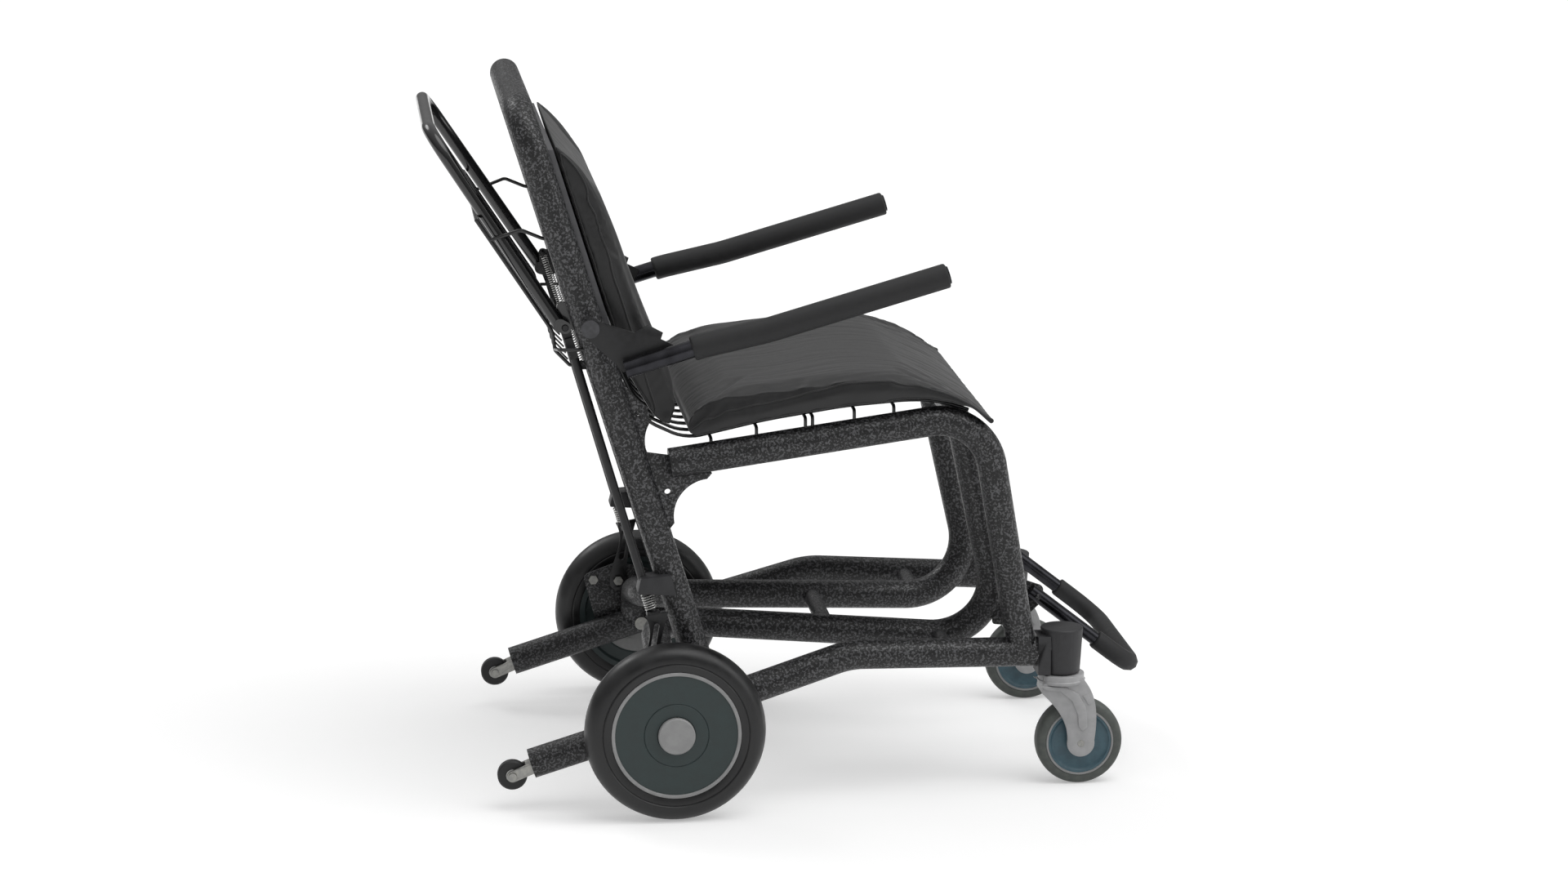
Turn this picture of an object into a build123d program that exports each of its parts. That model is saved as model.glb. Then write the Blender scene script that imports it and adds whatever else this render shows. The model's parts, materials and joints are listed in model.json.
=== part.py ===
from build123d import *
import os
from math import atan2, cos, degrees, radians, sin, sqrt, tan

# Transport wheelchair, a welded tube frame on two large rear wheels and two swivel casters.
# Millimetres. X points forward, Y to the sitter's left, Z up, with the floor at z = 0.
# Places are given from the rear axle in x, from the middle plane in y and from the floor in z.

# Tubing
tube_d = 42
handle_tube_d = 19
armrest_tube_d = 25
armrest_grip_d = 35
footrest_tube_d = 20
footrest_grip_d = 28
cross_tube_d = 32
strut_d = 24
rod_d = 12

# Clearances
running_gap = 0.05
soft_gap = 0.3
side_gap = 0.5
pin_play = 1.0

# Half width of the chair, to the middle of the uprights. The other widths follow it.
back_half = 250

# Rear wheels
wheel_d = 254
tyre_width = 50
wheel_mid_y = back_half + 86
rim_r = 92
rim_ring_w = 5
hub_cap_r = 26
hub_cap_t = 4
axle_d = 20
axle_collar_d = 34
axle_collar_t = 11

# Casters
caster_d = 125
caster_width = 32
caster_rim_r = 42
caster_stem_x = 565
caster_stem_y = back_half - 27.3
caster_trail = 26
caster_stem_d = 20
caster_bolt_d = 10
housing_top_d = 61
housing_foot_d = 53
housing_h = 67
housing_foot_z = 164
crown_d = 66
crown_h = 13
fork_leg_t = 6
fork_gap = 2
fork_end_r = 19.5
weld_plate_t = 7
weld_plate_h = 56

# Rear rollers
roller_d = 42
roller_width = 14
roller_hub_d = 18
roller_pin_d = 11
roller_x = -224.5
roller_z = 53
strap_t = 4
strap_gap = 2
strap_r = 8
strap_reach = 42

# Back frame
back_lean = 0.308
back_foot_x = 57
back_foot_z = 149
back_top_z = 984
back_corner_r = 60

# Side frames
rail_rear_x = 2
rail_rear_z = 490.3
rail_rise = 0.132
rail_front_x = 446
seat_front_half = back_half - 10
leg_slant = 0.173
leg_foot_y = back_half - 21.5
rail_bend_r = 80

# Outer rails
rail_axle_y = back_half + 25
rail_axle_lift = 2
rail_bend_x = 255
rail_bend_z = 206.5
rail_end_z = 196
roller_leg_y = back_half + 23
roller_leg_x = -197.5
roller_leg_z = 68

# Inner tubes
inner_top_x = 428
inner_top_y = 150
inner_top_z = 520
inner_low_x = 499
inner_low_y = 127
inner_low_z = 190
inner_rear_x = -9
inner_rear_y = 76
inner_rear_z = 220
elbow_z = 175
inner_front_r = 85
inner_rear_r = 50
elbow_r = 42

# Struts between the lower tubes
mid_strut_x = 243
side_strut_x = 402

# Gusset plates
gusset_t = 8
gusset_hole_d = 8.6

# Shared pivot of armrests and push handle
pivot_z = 693.5
pivot_pin_d = 14
pivot_cap_d = 25
pivot_cap_t = 4
pivot_boss_d = 22

# Armrests
armrest_plate_y = back_half + 53
armrest_plate_t = 4
armrest_tube_y = back_half + 69.5
armrest_pivot_r = 12.5
armrest_bend_r = 250

# Push handle
handle_top_x = -322
handle_top_half = back_half - 54
handle_top_z = 953
handle_corner_r = 50
crank_arm = 32
handle_swing = 10
crank_t = 6
crank_inner_y = back_half - 28.5
clevis_outer_y = back_half - 1.5
clevis_r = 8.5
crank_hub_r = 11
rod_top_y = back_half - 11
rod_low_y = back_half + 18
eye_t = 6
coupling_w = 12
coupling_deep = 14
coupling_long = 44

# Brake linkage
bracket_y = back_half + 35
bracket_t = 4
arm_t = 4
guide_foot_z = 310
guide_h = 23
guide_outer_y = back_half + 35
arm_top_z = 284
arm_foot_x = -33
arm_foot_z = 189
arm_foot_r = 13
arm_tab_t = 6
bolt_d = 8
bolt_head_w = 13
bolt_head_t = 4
brake_spring_d = 19
brake_spring_wall = 2
handle_spring_d = 11
handle_spring_wall = 1.5
spring_y = back_half - 38
spring_stub_d = 5
spring_ear_r = 6

# Upholstery
seat_half = back_half + 15
back_cushion_half = back_half - 5.5
board_t = 8
board_half = back_half - 6
board_low_z = 655
board_top_z = 932

# Wire grid under the cushions and wire basket behind the back
grid_wire_d = 5
grid_half = back_half - 15
grid_rods = 12
basket_wire_d = 2.6
basket_rim_d = 5
basket_half = back_half - 20
basket_top_z = 834
basket_wires = 9

# Footrest
footrest_half = 154
footrest_pivot_x = 541
footrest_pivot_z = 260
footrest_front_x = 685
footrest_front_z = 147
footrest_corner_r = 45
footrest_grip_start_x = 627
footrest_pin_d = 8
footrest_plate_t = 4

# The origin is under the middle of the whole chair.
rear_reach = -handle_top_x + handle_tube_d / 2
front_reach = footrest_front_x + footrest_grip_d / 2
axle_x = (rear_reach - front_reach) / 2

tube_r = tube_d / 2
axle_z = wheel_d / 2
caster_z = caster_d / 2
lean = atan2(back_lean, 1)
os.makedirs("parts", exist_ok=True)


def spot(x, y, z):
    """A point given from the rear axle, the middle plane and the floor."""
    return (axle_x + x, y, z)


def side_view(y):
    """The upright plane at y, looking across the chair, with x forward from the axle and y up."""
    return Plane(origin=spot(0, y, 0), x_dir=(1, 0, 0), z_dir=(0, -1, 0))


def upright_x(z, ahead=0):
    """The centre line of an upright at height z, moved ahead square to its lean."""
    return back_foot_x - back_lean * (z - back_foot_z) + ahead / cos(lean)


def rail_z(x):
    """The centre line of a seat rail above x."""
    return rail_rear_z + rail_rise * (x - rail_rear_x)


def save(piece, name):
    piece.part.label = name
    export_step(piece.part, f"parts/{name}.step")


def bent_tube(points, radii, diameter, mode=Mode.ADD):
    """Sweep a round section along straight runs joined by tangent arcs."""
    with BuildLine() as route:
        FilletPolyline(*points, radius=radii)
    with BuildSketch(Plane(origin=route.line @ 0, z_dir=route.line % 0)) as section:
        Circle(diameter / 2)
    sweep(section.sketch, path=route.wires()[0], mode=mode)


def bent_wire(points, radii, diameter, mode=Mode.ADD):
    """A thin wire drawn with six flats."""
    with BuildLine() as route:
        FilletPolyline(*points, radius=radii)
    with BuildSketch(Plane(origin=route.line @ 0, z_dir=route.line % 0)) as section:
        RegularPolygon(diameter / 2, 6)
    sweep(section.sketch, path=route.wires()[0], mode=mode)


def bar(start, end, diameter, mode=Mode.ADD):
    """A straight round bar from one point to another."""
    run = Vector(*end) - Vector(*start)
    with BuildSketch(Plane(origin=start, z_dir=run)) as section:
        Circle(diameter / 2)
    extrude(section.sketch, amount=run.length, mode=mode)


def cross_bar(x, z, near, far, diameter, mode=Mode.ADD):
    """A round bar across the chair, from y = near to y = far."""
    bar(spot(x, near, z), spot(x, far, z), diameter, mode)


def take_away(*pieces):
    """Cope the piece in hand to its neighbours, so that it seats on them."""
    for piece in pieces:
        add(piece.part, mode=Mode.SUBTRACT)


def turned(radius_and_y, side, x, z):
    """A turned piece on a cross axis, from pairs of radius and distance from the middle plane."""
    outline = [(r, side * y) for r, y in radius_and_y]
    plane = Plane(origin=spot(x, 0, z), x_dir=(0, 0, 1), z_dir=(-1, 0, 0))
    with BuildSketch(plane) as half:
        with BuildLine():
            Polyline(*outline, close=True)
        make_face()
    revolve(half.sketch, axis=Axis(spot(x, 0, z), (0, 1, 0)))


sides = ((1, "left"), (-1, "right"))

# Pivot pins run through bosses on the uprights and carry armrests outside and the push handle inside.
pivot_x = upright_x(pivot_z)
pin_inner_y = crank_inner_y - side_gap
pin_outer_y = armrest_plate_y + armrest_plate_t + side_gap
with BuildPart() as pivot_pins:
    for side, word in sides:
        cross_bar(pivot_x, pivot_z, side * pin_inner_y, side * pin_outer_y, pivot_pin_d)
        cross_bar(pivot_x, pivot_z, side * pin_outer_y, side * (pin_outer_y + pivot_cap_t), pivot_cap_d)
        cross_bar(pivot_x, pivot_z, side * pin_inner_y, side * (pin_inner_y - pivot_cap_t), pivot_pin_d + 4)
save(pivot_pins, "pivot_pins")

# Rear axles pass through the outer rails, with a collar against each wheel.
wheel_inner_y = wheel_mid_y - tyre_width / 2
wheel_outer_y = wheel_mid_y + tyre_width / 2
collar_outer_y = wheel_inner_y - side_gap
axle_end_y = wheel_outer_y - hub_cap_t
with BuildPart() as rear_axles:
    for side, word in sides:
        cross_bar(0, axle_z, side * (rail_axle_y - tube_r - 3), side * axle_end_y, axle_d)
        cross_bar(0, axle_z, side * (collar_outer_y - axle_collar_t), side * collar_outer_y, axle_collar_d)
save(rear_axles, "rear_axles")

# Outer rails run from the rollers at the back, through the rear axle, to the caster housings.
rail_slant = (rail_axle_y - caster_stem_y) / caster_stem_x
rail_end_x = caster_stem_x - housing_top_d / 2 - weld_plate_t
rail_bend_y = rail_axle_y - rail_slant * rail_bend_x
rail_end_y = rail_axle_y - rail_slant * rail_end_x
slot_in_x = roller_leg_x + strap_reach
slot_in_z = roller_leg_z + (axle_z + rail_axle_lift - roller_leg_z) * strap_reach / -roller_leg_x
fork_half = roller_width / 2 + strap_gap + strap_t


def strap_outline():
    """Outline of the roller straps, let into the end of the leg."""
    with BuildSketch(side_view(0)) as outline:
        with Locations((roller_x, roller_z), (slot_in_x, slot_in_z)):
            Circle(strap_r)
        make_hull()
    return outline.sketch


outer_rails = {}
for side, word in sides:
    with BuildPart() as outer_rail:
        bent_tube(
            [
                spot(roller_leg_x, side * roller_leg_y, roller_leg_z),
                spot(0, side * rail_axle_y, axle_z + rail_axle_lift),
                spot(rail_bend_x, side * rail_bend_y, rail_bend_z),
                spot(rail_end_x, side * rail_end_y, rail_end_z),
            ],
            [100, 120],
            tube_d,
        )
        slot = extrude(strap_outline(), amount=fork_half, both=True, mode=Mode.PRIVATE)
        add(slot.moved(Location((0, side * roller_leg_y, 0))), mode=Mode.SUBTRACT)
        take_away(rear_axles)
    outer_rails[side] = outer_rail
    save(outer_rail, f"{word}_outer_rail")

# Back frame: one tube bent to an inverted U, leaning back, with a boss for each pivot pin.
back_top_x = upright_x(back_top_z)
spring_foot_z = 628
spring_foot_x = upright_x(spring_foot_z) - tube_r - handle_spring_d / 2 - 1
tab_t = 4
with BuildPart() as back_frame:
    bent_tube(
        [
            spot(back_foot_x, back_half, back_foot_z),
            spot(back_top_x, back_half, back_top_z),
            spot(back_top_x, -back_half, back_top_z),
            spot(back_foot_x, -back_half, back_foot_z),
        ],
        back_corner_r,
        tube_d,
    )
    for side, word in sides:
        boss_outer_y = armrest_plate_y - side_gap
        cross_bar(pivot_x, pivot_z, side * back_half, side * boss_outer_y, pivot_boss_d)
        tab_y = side * (back_half - tube_r - tab_t / 2 + 1)
        with BuildSketch(side_view(tab_y)) as tab:
            with Locations((spring_foot_x, spring_foot_z), (upright_x(spring_foot_z), spring_foot_z)):
                Circle(spring_ear_r)
            make_hull()
        extrude(tab.sketch, amount=tab_t / 2, both=True)
        cross_bar(spring_foot_x, spring_foot_z, tab_y, side * (spring_y - handle_spring_d / 2), spring_stub_d)
    take_away(pivot_pins, *outer_rails.values())
save(back_frame, "back_frame")

# Side frames: seat rail and front leg in one bent tube.
leg_foot_z = rail_end_z + 1
rail_front_z = rail_z(rail_front_x)
leg_foot_x = rail_front_x + leg_slant * (rail_front_z - leg_foot_z)
side_frames = {}
for side, word in sides:
    with BuildPart() as side_frame:
        bent_tube(
            [
                spot(rail_rear_x, side * back_half, rail_rear_z),
                spot(rail_front_x, side * seat_front_half, rail_front_z),
                spot(leg_foot_x, side * leg_foot_y, leg_foot_z),
            ],
            rail_bend_r,
            tube_d,
        )
        take_away(outer_rails[side])
    side_frames[side] = side_frame
    save(side_frame, f"{word}_side_frame")

# A hidden cross tube ties the side frames and carries the tops of the inner tubes.
with BuildPart() as front_cross_tube:
    cross_bar(inner_top_x, inner_top_z, -seat_front_half, seat_front_half, cross_tube_d)
    take_away(*side_frames.values())
save(front_cross_tube, "front_cross_tube")

# Inner tubes: front leg, lower run and an elbow that turns outboard and down onto the outer rail.
inner_tubes = {}
for side, word in sides:
    with BuildPart() as inner_tube:
        bent_tube(
            [
                spot(inner_top_x, side * inner_top_y, inner_top_z),
                spot(inner_low_x, side * inner_low_y, inner_low_z),
                spot(inner_rear_x, side * inner_rear_y, inner_rear_z),
                spot(inner_rear_x, side * (rail_axle_y - 1), elbow_z),
                spot(inner_rear_x, side * rail_axle_y, axle_z),
            ],
            [inner_front_r, inner_rear_r, elbow_r],
            tube_d,
        )
        take_away(front_cross_tube, outer_rails[side], rear_axles)
    inner_tubes[side] = inner_tube
    save(inner_tube, f"{word}_inner_tube")


def inner_run(x):
    """Half width and height of the inner tube's lower run above x."""
    share = (x - inner_rear_x) / (inner_low_x - inner_rear_x)
    y = inner_rear_y + share * (inner_low_y - inner_rear_y)
    z = inner_rear_z + share * (inner_low_z - inner_rear_z)
    return y, z


with BuildPart() as mid_strut:
    strut_y, strut_z = inner_run(mid_strut_x)
    cross_bar(mid_strut_x, strut_z, -strut_y, strut_y, strut_d)
    take_away(*inner_tubes.values())
save(mid_strut, "mid_strut")

with BuildPart() as side_struts:
    strut_y, strut_z = inner_run(side_strut_x)
    outer_y = rail_axle_y - rail_slant * side_strut_x
    for side, word in sides:
        bar(
            spot(side_strut_x, side * strut_y, strut_z),
            spot(side_strut_x, side * outer_y, rail_end_z + 4),
            strut_d,
        )
    take_away(*inner_tubes.values(), *outer_rails.values())
save(side_struts, "side_struts")

# Gusset plates join the uprights to the seat rails, with two holes each.
gusset_holes = ((-43, 562), (-1.5, 450))
for side, word in sides:
    with BuildPart() as gusset:
        with BuildSketch(side_view(side * back_half)):
            with BuildLine():
                Line((upright_x(612, tube_r - 4), 612), (-39, 578))
                ThreePointArc((-39, 578), (-28, 567), (-27, 557))
                ThreePointArc((-27, 557), (-34, 532), (-29, 506))
                Line((-29, 506), (40, rail_z(40)))
                Line((40, rail_z(40)), (61, 475))
                Line((61, 475), (54, 467))
                ThreePointArc((54, 467), (16, 444), (8, 405))
                Line((8, 405), (upright_x(378), 378))
                Line((upright_x(378), 378), (upright_x(612, tube_r - 4), 612))
            make_face()
            with Locations(*gusset_holes):
                Circle(gusset_hole_d / 2, mode=Mode.SUBTRACT)
        extrude(amount=gusset_t / 2, both=True)
        take_away(back_frame, side_frames[side])
    save(gusset, f"{word}_gusset")

# Brake brackets stand on the outer rails beside the uprights.
front_bolt = (arm_foot_x, arm_foot_z)
rear_bolt = (-71, 190)
with BuildPart() as brake_brackets:
    with BuildSketch(side_view(-bracket_y - bracket_t / 2)) as outline:
        with BuildLine():
            FilletPolyline(
                (-66, 118), (-87, 197), (-35, 216), (14, 205), (26, 150), (-20, 136),
                radius=[5, 10, 10, 5, 5, 5], close=True,
            )
        make_face()
        with Locations(front_bolt, rear_bolt):
            Circle(bolt_d / 2, mode=Mode.SUBTRACT)
    extrude(outline.sketch, amount=bracket_t / 2, both=True)
    take_away(outer_rails[-1], inner_tubes[-1])
    mirror(about=Plane.XZ)
save(brake_brackets, "brake_brackets")

# Caster housings: a tapered cup with its weld plate on the rail's end, bored for the fork's stem.
housing_top_z = housing_foot_z + housing_h
stem_top_z = housing_top_z - 12
for side, word in sides:
    with BuildPart() as housing:
        centre = spot(caster_stem_x, side * caster_stem_y, housing_foot_z)
        with BuildSketch(Plane(origin=centre)):
            Circle(housing_foot_d / 2)
        with BuildSketch(Plane(origin=centre).offset(housing_h)):
            Circle(housing_top_d / 2)
        loft()
        rims = housing.edges().filter_by(GeomType.CIRCLE).sort_by(Axis.Z)
        fillet(rims[0], radius=4)
        chamfer(housing.edges().filter_by(GeomType.CIRCLE).sort_by(Axis.Z)[-1], length=1.5)
        with BuildSketch(side_view(side * rail_end_y)) as plate:
            with Locations((rail_end_x + weld_plate_t + 2, rail_end_z - 2)):
                Rectangle(2 * weld_plate_t + 4, weld_plate_h)
        extrude(plate.sketch, amount=tube_r, both=True)
        behind = spot(rail_end_x - 50, side * rail_end_y, rail_end_z)
        with BuildSketch(Plane(origin=behind, z_dir=(1, 0, 0))) as block:
            Rectangle(80, 80)
        extrude(block.sketch, amount=50, mode=Mode.SUBTRACT)
        with BuildSketch(Plane(origin=centre)) as bore:
            Circle(caster_stem_d / 2 + running_gap)
        extrude(bore.sketch, amount=stem_top_z - housing_foot_z + 1, mode=Mode.SUBTRACT)
        take_away(outer_rails[side])
    save(housing, f"{word}_caster_housing")

# Caster forks: stem, round crown and two legs that sweep forward to the axle.
caster_x = caster_stem_x + caster_trail
crown_top_z = housing_foot_z - side_gap
leg_inner = caster_width / 2 + fork_gap
leg_outer = leg_inner + fork_leg_t
for side, word in sides:
    stem_y = side * caster_stem_y
    with BuildPart() as fork:
        with BuildSketch(side_view(stem_y)) as leg:
            with BuildLine():
                Line((536, crown_top_z - crown_h + 2), (534, 138))
                Spline((534, 138), (550, 121), (565, 98), (caster_x - fork_end_r, caster_z + 4))
                ThreePointArc(
                    (caster_x - fork_end_r, caster_z + 4),
                    (caster_x, caster_z - fork_end_r),
                    (caster_x + fork_end_r, caster_z + 4),
                )
                Spline((caster_x + fork_end_r, caster_z + 4), (613, 95), (611, 121), (594, crown_top_z - 6))
                Line((594, crown_top_z - 6), (536, crown_top_z - crown_h + 2))
            make_face()
        extrude(leg.sketch, amount=leg_outer, both=True)
        middle = side_view(stem_y)
        with BuildSketch(middle) as hollow:
            with Locations((caster_x, caster_z)):
                Circle(caster_d / 2 + 3)
            with Locations((caster_x, caster_z - 40)):
                Rectangle(caster_d + 6, 80)
        extrude(hollow.sketch, amount=leg_inner, both=True, mode=Mode.SUBTRACT)
        crown = Plane(origin=spot(caster_stem_x, stem_y, crown_top_z - crown_h))
        with BuildSketch(crown) as ring:
            Circle(crown_d / 2)
        extrude(ring.sketch, amount=crown_h)
        with BuildSketch(crown.offset(crown_h)) as stem:
            Circle(caster_stem_d / 2)
        extrude(stem.sketch, amount=stem_top_z - crown_top_z)
        with BuildSketch(middle) as bore:
            with Locations((caster_x, caster_z)):
                Circle(caster_bolt_d / 2)
        extrude(bore.sketch, amount=leg_outer, both=True, mode=Mode.SUBTRACT)
    save(fork, f"{word}_caster_fork")

    with BuildPart() as bolt:
        near = stem_y - leg_outer
        far = stem_y + leg_outer
        cross_bar(caster_x, caster_z, near, far, caster_bolt_d)
    save(bolt, f"{word}_caster_bolt")

    half = caster_width / 2
    with BuildPart() as hub:
        turned(
            [
                (caster_bolt_d / 2 + running_gap, side * stem_y - half - 1),
                (14, side * stem_y - half - 1),
                (16, side * stem_y - half + 3),
                (caster_rim_r - 5, side * stem_y - half + 3),
                (caster_rim_r - 3, side * stem_y - half),
                (caster_rim_r, side * stem_y - half),
                (caster_rim_r, side * stem_y + half),
                (caster_rim_r - 3, side * stem_y + half),
                (caster_rim_r - 5, side * stem_y + half - 3),
                (16, side * stem_y + half - 3),
                (14, side * stem_y + half + 1),
                (caster_bolt_d / 2 + running_gap, side * stem_y + half + 1),
            ],
            side, caster_x, caster_z,
        )
    save(hub, f"{word}_caster_hub")

    with BuildPart() as tyre:
        turned(
            [
                (caster_rim_r, side * stem_y - half),
                (caster_z - 5, side * stem_y - half),
                (caster_z - 1.2, side * stem_y - half + 4),
                (caster_z, side * stem_y - 5),
                (caster_z, side * stem_y + 5),
                (caster_z - 1.2, side * stem_y + half - 4),
                (caster_z - 5, side * stem_y + half),
                (caster_rim_r, side * stem_y + half),
            ],
            side, caster_x, caster_z,
        )
    save(tyre, f"{word}_caster_tyre")

# Rear wheels: a disc with rim and hub, a round-shouldered tyre and a cap over the axle's end.
cap_outer_y = wheel_outer_y + 5
for side, word in sides:
    with BuildPart() as disc:
        turned(
            [
                (axle_d / 2 + running_gap, wheel_inner_y),
                (26, wheel_inner_y),
                (28, wheel_inner_y + 6),
                (60, wheel_inner_y + 6),
                (62, wheel_inner_y + 9),
                (rim_r - 8, wheel_inner_y + 9),
                (rim_r - 5, wheel_inner_y + 2),
                (rim_r, wheel_inner_y + 2),
                (rim_r, wheel_outer_y),
                (rim_r - rim_ring_w, wheel_outer_y),
                (rim_r - rim_ring_w - 1, wheel_outer_y - 2),
                (hub_cap_r, wheel_outer_y - 2),
                (hub_cap_r, wheel_outer_y - hub_cap_t),
                (axle_d / 2 + running_gap, wheel_outer_y - hub_cap_t),
            ],
            side, 0, axle_z,
        )
    save(disc, f"{word}_wheel_disc")

    with BuildPart() as cap:
        turned(
            [
                (0, wheel_outer_y - hub_cap_t + side_gap),
                (hub_cap_r - 2, wheel_outer_y - hub_cap_t + side_gap),
                (hub_cap_r - 2, wheel_outer_y - hub_cap_t),
                (hub_cap_r, wheel_outer_y - hub_cap_t),
                (hub_cap_r, cap_outer_y - 2),
                (hub_cap_r - 2, cap_outer_y),
                (0, cap_outer_y),
            ],
            side, 0, axle_z,
        )
    save(cap, f"{word}_wheel_cap")

    with BuildPart() as tyre:
        flank = tyre_width / 2
        shoulder = axle_z - 16
        wheel_mid = spot(0, side * wheel_mid_y, axle_z)
        with BuildSketch(Plane(origin=wheel_mid, x_dir=(0, 0, 1), z_dir=(1, 0, 0))) as half:
            with BuildLine():
                Line((rim_r, -flank + 2), (rim_r + 12, -flank))
                Line((rim_r + 12, -flank), (shoulder, -flank + 0.5))
                ThreePointArc((shoulder, -flank + 0.5), (axle_z, 0), (shoulder, flank - 0.5))
                Line((shoulder, flank - 0.5), (rim_r + 12, flank))
                Line((rim_r + 12, flank), (rim_r, flank - 2))
                Line((rim_r, flank - 2), (rim_r, -flank + 2))
            make_face()
        revolve(half.sketch, axis=Axis(wheel_mid, (0, 1, 0)))
    save(tyre, f"{word}_rear_tyre")

# Rear rollers between straps that are let into the slotted ends of the legs.
with BuildPart() as roller_pins:
    for side, word in sides:
        near = side * roller_leg_y - fork_half - 1.5
        cross_bar(roller_x, roller_z, near, near + 2 * fork_half + 3, roller_pin_d)
save(roller_pins, "roller_pins")

with BuildPart() as roller_forks:
    for side, word in sides:
        middle = Location((0, side * roller_leg_y, 0))
        straps = extrude(strap_outline(), amount=fork_half, both=True, mode=Mode.PRIVATE)
        add(straps.moved(middle))
        room = roller_d / 2 + 3
        with BuildSketch(side_view(side * roller_leg_y)) as gap:
            with Locations((roller_x, roller_z)):
                Circle(room)
        extrude(gap.sketch, amount=fork_half - strap_t, both=True, mode=Mode.SUBTRACT)
    take_away(roller_pins)
save(roller_forks, "roller_forks")

for side, word in sides:
    low = roller_leg_y - roller_width / 2
    high = roller_leg_y + roller_width / 2
    with BuildPart() as hub:
        turned(
            [
                (roller_pin_d / 2 + running_gap, low - 1),
                (roller_hub_d / 2, low - 1),
                (roller_hub_d / 2, high + 1),
                (roller_pin_d / 2 + running_gap, high + 1),
            ],
            side, roller_x, roller_z,
        )
    save(hub, f"{word}_roller_hub")
    with BuildPart() as tyre:
        turned(
            [
                (roller_hub_d / 2, low),
                (roller_d / 2 - 2, low),
                (roller_d / 2, low + 2),
                (roller_d / 2, high - 2),
                (roller_d / 2 - 2, high),
                (roller_hub_d / 2, high),
            ],
            side, roller_x, roller_z,
        )
    save(tyre, f"{word}_roller_tyre")

# Armrests: a plate on the pivot pin, a tube along the plate's lower edge and a foam grip.
armrest_route = ((-64, 638), (40, 669), (132, 689), (383, 761))
grip_start = (28, 665.4)
for side, word in sides:
    plate_mid = side * (armrest_plate_y + armrest_plate_t / 2)
    tube_y = side * armrest_tube_y
    with BuildPart() as tube:
        bent_tube([spot(x, tube_y, z) for x, z in armrest_route], [armrest_bend_r, armrest_bend_r], armrest_tube_d)
    with BuildPart() as grip:
        bent_tube(
            [spot(x, tube_y, z) for x, z in (grip_start, armrest_route[1], *armrest_route[2:])],
            [30, armrest_bend_r],
            armrest_grip_d,
        )
        take_away(tube)
    save(tube, f"{word}_armrest_tube")
    save(grip, f"{word}_armrest_grip")

    with BuildPart() as plate:
        with BuildSketch(side_view(plate_mid)) as outline:
            with BuildLine():
                Polyline(
                    (pivot_x + 5, pivot_z + 11.5),
                    (-50, 687), (-31, 697), (-11, 686), (-14, 677), (5, 668),
                    (-4, 650), (-66, 632), (-72, 640),
                    (pivot_x - 8, pivot_z - 10),
                    close=True,
                )
            make_face()
            with Locations((pivot_x, pivot_z)):
                Circle(armrest_pivot_r)
                Circle(pivot_pin_d / 2 + running_gap, mode=Mode.SUBTRACT)
        extrude(outline.sketch, amount=armrest_plate_t / 2, both=True)
        take_away(tube)
    save(plate, f"{word}_armrest_plate")

# Push handle: one bent tube whose ends carry a clevis for the brake rod and a crank on the pivot pin.
rod_lean = atan2(0.289, 1)
rod_top_x = pivot_x - crank_arm * cos(rod_lean)
rod_top_z = pivot_z - crank_arm * sin(rod_lean)
leg_end_x = rod_top_x - 7
leg_end_z = rod_top_z + 3
ear_x = rod_top_x - 4
ear_z = rod_top_z + 26
with BuildPart() as push_handle:
    bent_tube(
        [
            spot(leg_end_x, rod_top_y, leg_end_z),
            spot(handle_top_x, handle_top_half, handle_top_z),
            spot(handle_top_x, -handle_top_half, handle_top_z),
            spot(leg_end_x, -rod_top_y, leg_end_z),
        ],
        handle_corner_r,
        handle_tube_d,
    )
    for side, word in sides:
        with BuildSketch(side_view(side * (crank_inner_y + clevis_outer_y) / 2)) as clevis:
            with Locations((leg_end_x, leg_end_z)):
                Circle(handle_tube_d / 2)
            with Locations((rod_top_x, rod_top_z)):
                Circle(clevis_r)
            make_hull()
        extrude(clevis.sketch, amount=(clevis_outer_y - crank_inner_y) / 2, both=True)
        with BuildSketch(side_view(side * (crank_inner_y + crank_t / 2))) as crank:
            with Locations((rod_top_x, rod_top_z)):
                Circle(clevis_r)
            with Locations((pivot_x, pivot_z)):
                Circle(crank_hub_r)
            with Locations((ear_x, ear_z)):
                Circle(spring_ear_r)
            make_hull()
        extrude(crank.sketch, amount=crank_t / 2, both=True)
        cross_bar(ear_x, ear_z, side * crank_inner_y, side * (spring_y - handle_spring_d / 2), spring_stub_d)
        cross_bar(
            pivot_x, pivot_z, side * (crank_inner_y - 1), side * (crank_inner_y + crank_t + 1),
            pivot_pin_d + 2 * running_gap, Mode.SUBTRACT,
        )
        with BuildSketch(side_view(side * rod_top_y)) as slot:
            with Locations((rod_top_x, rod_top_z)):
                Circle(clevis_r + 4)
        extrude(slot.sketch, amount=eye_t / 2 + pin_play, both=True, mode=Mode.SUBTRACT)
        cross_bar(
            rod_top_x, rod_top_z, side * (crank_inner_y + crank_t), side * (clevis_outer_y + 1),
            bolt_d + 2 * pin_play, Mode.SUBTRACT,
        )
save(push_handle, "push_handle")

# Brake rods slide through guide blocks on the uprights. Each ends in an eye and pin in the clevis.
rod_drop = rod_top_z - arm_top_z
rod_low_x = rod_top_x + rod_drop * tan(rod_lean)
rod_out = (rod_low_y - rod_top_y) / rod_drop


def rod_spot(side, z):
    """A point on a brake rod's centre line at height z."""
    drop = rod_top_z - z
    x = rod_top_x + drop * tan(rod_lean)
    return spot(x, side * (rod_top_y + rod_out * drop), z)


def rod_plane(side, z):
    """The plane square to a brake rod at height z."""
    run = Vector(*rod_spot(side, z)) - Vector(*rod_spot(side, z - 100))
    return Plane(origin=rod_spot(side, z), x_dir=(run.Z, 0, -run.X), z_dir=run)


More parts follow.
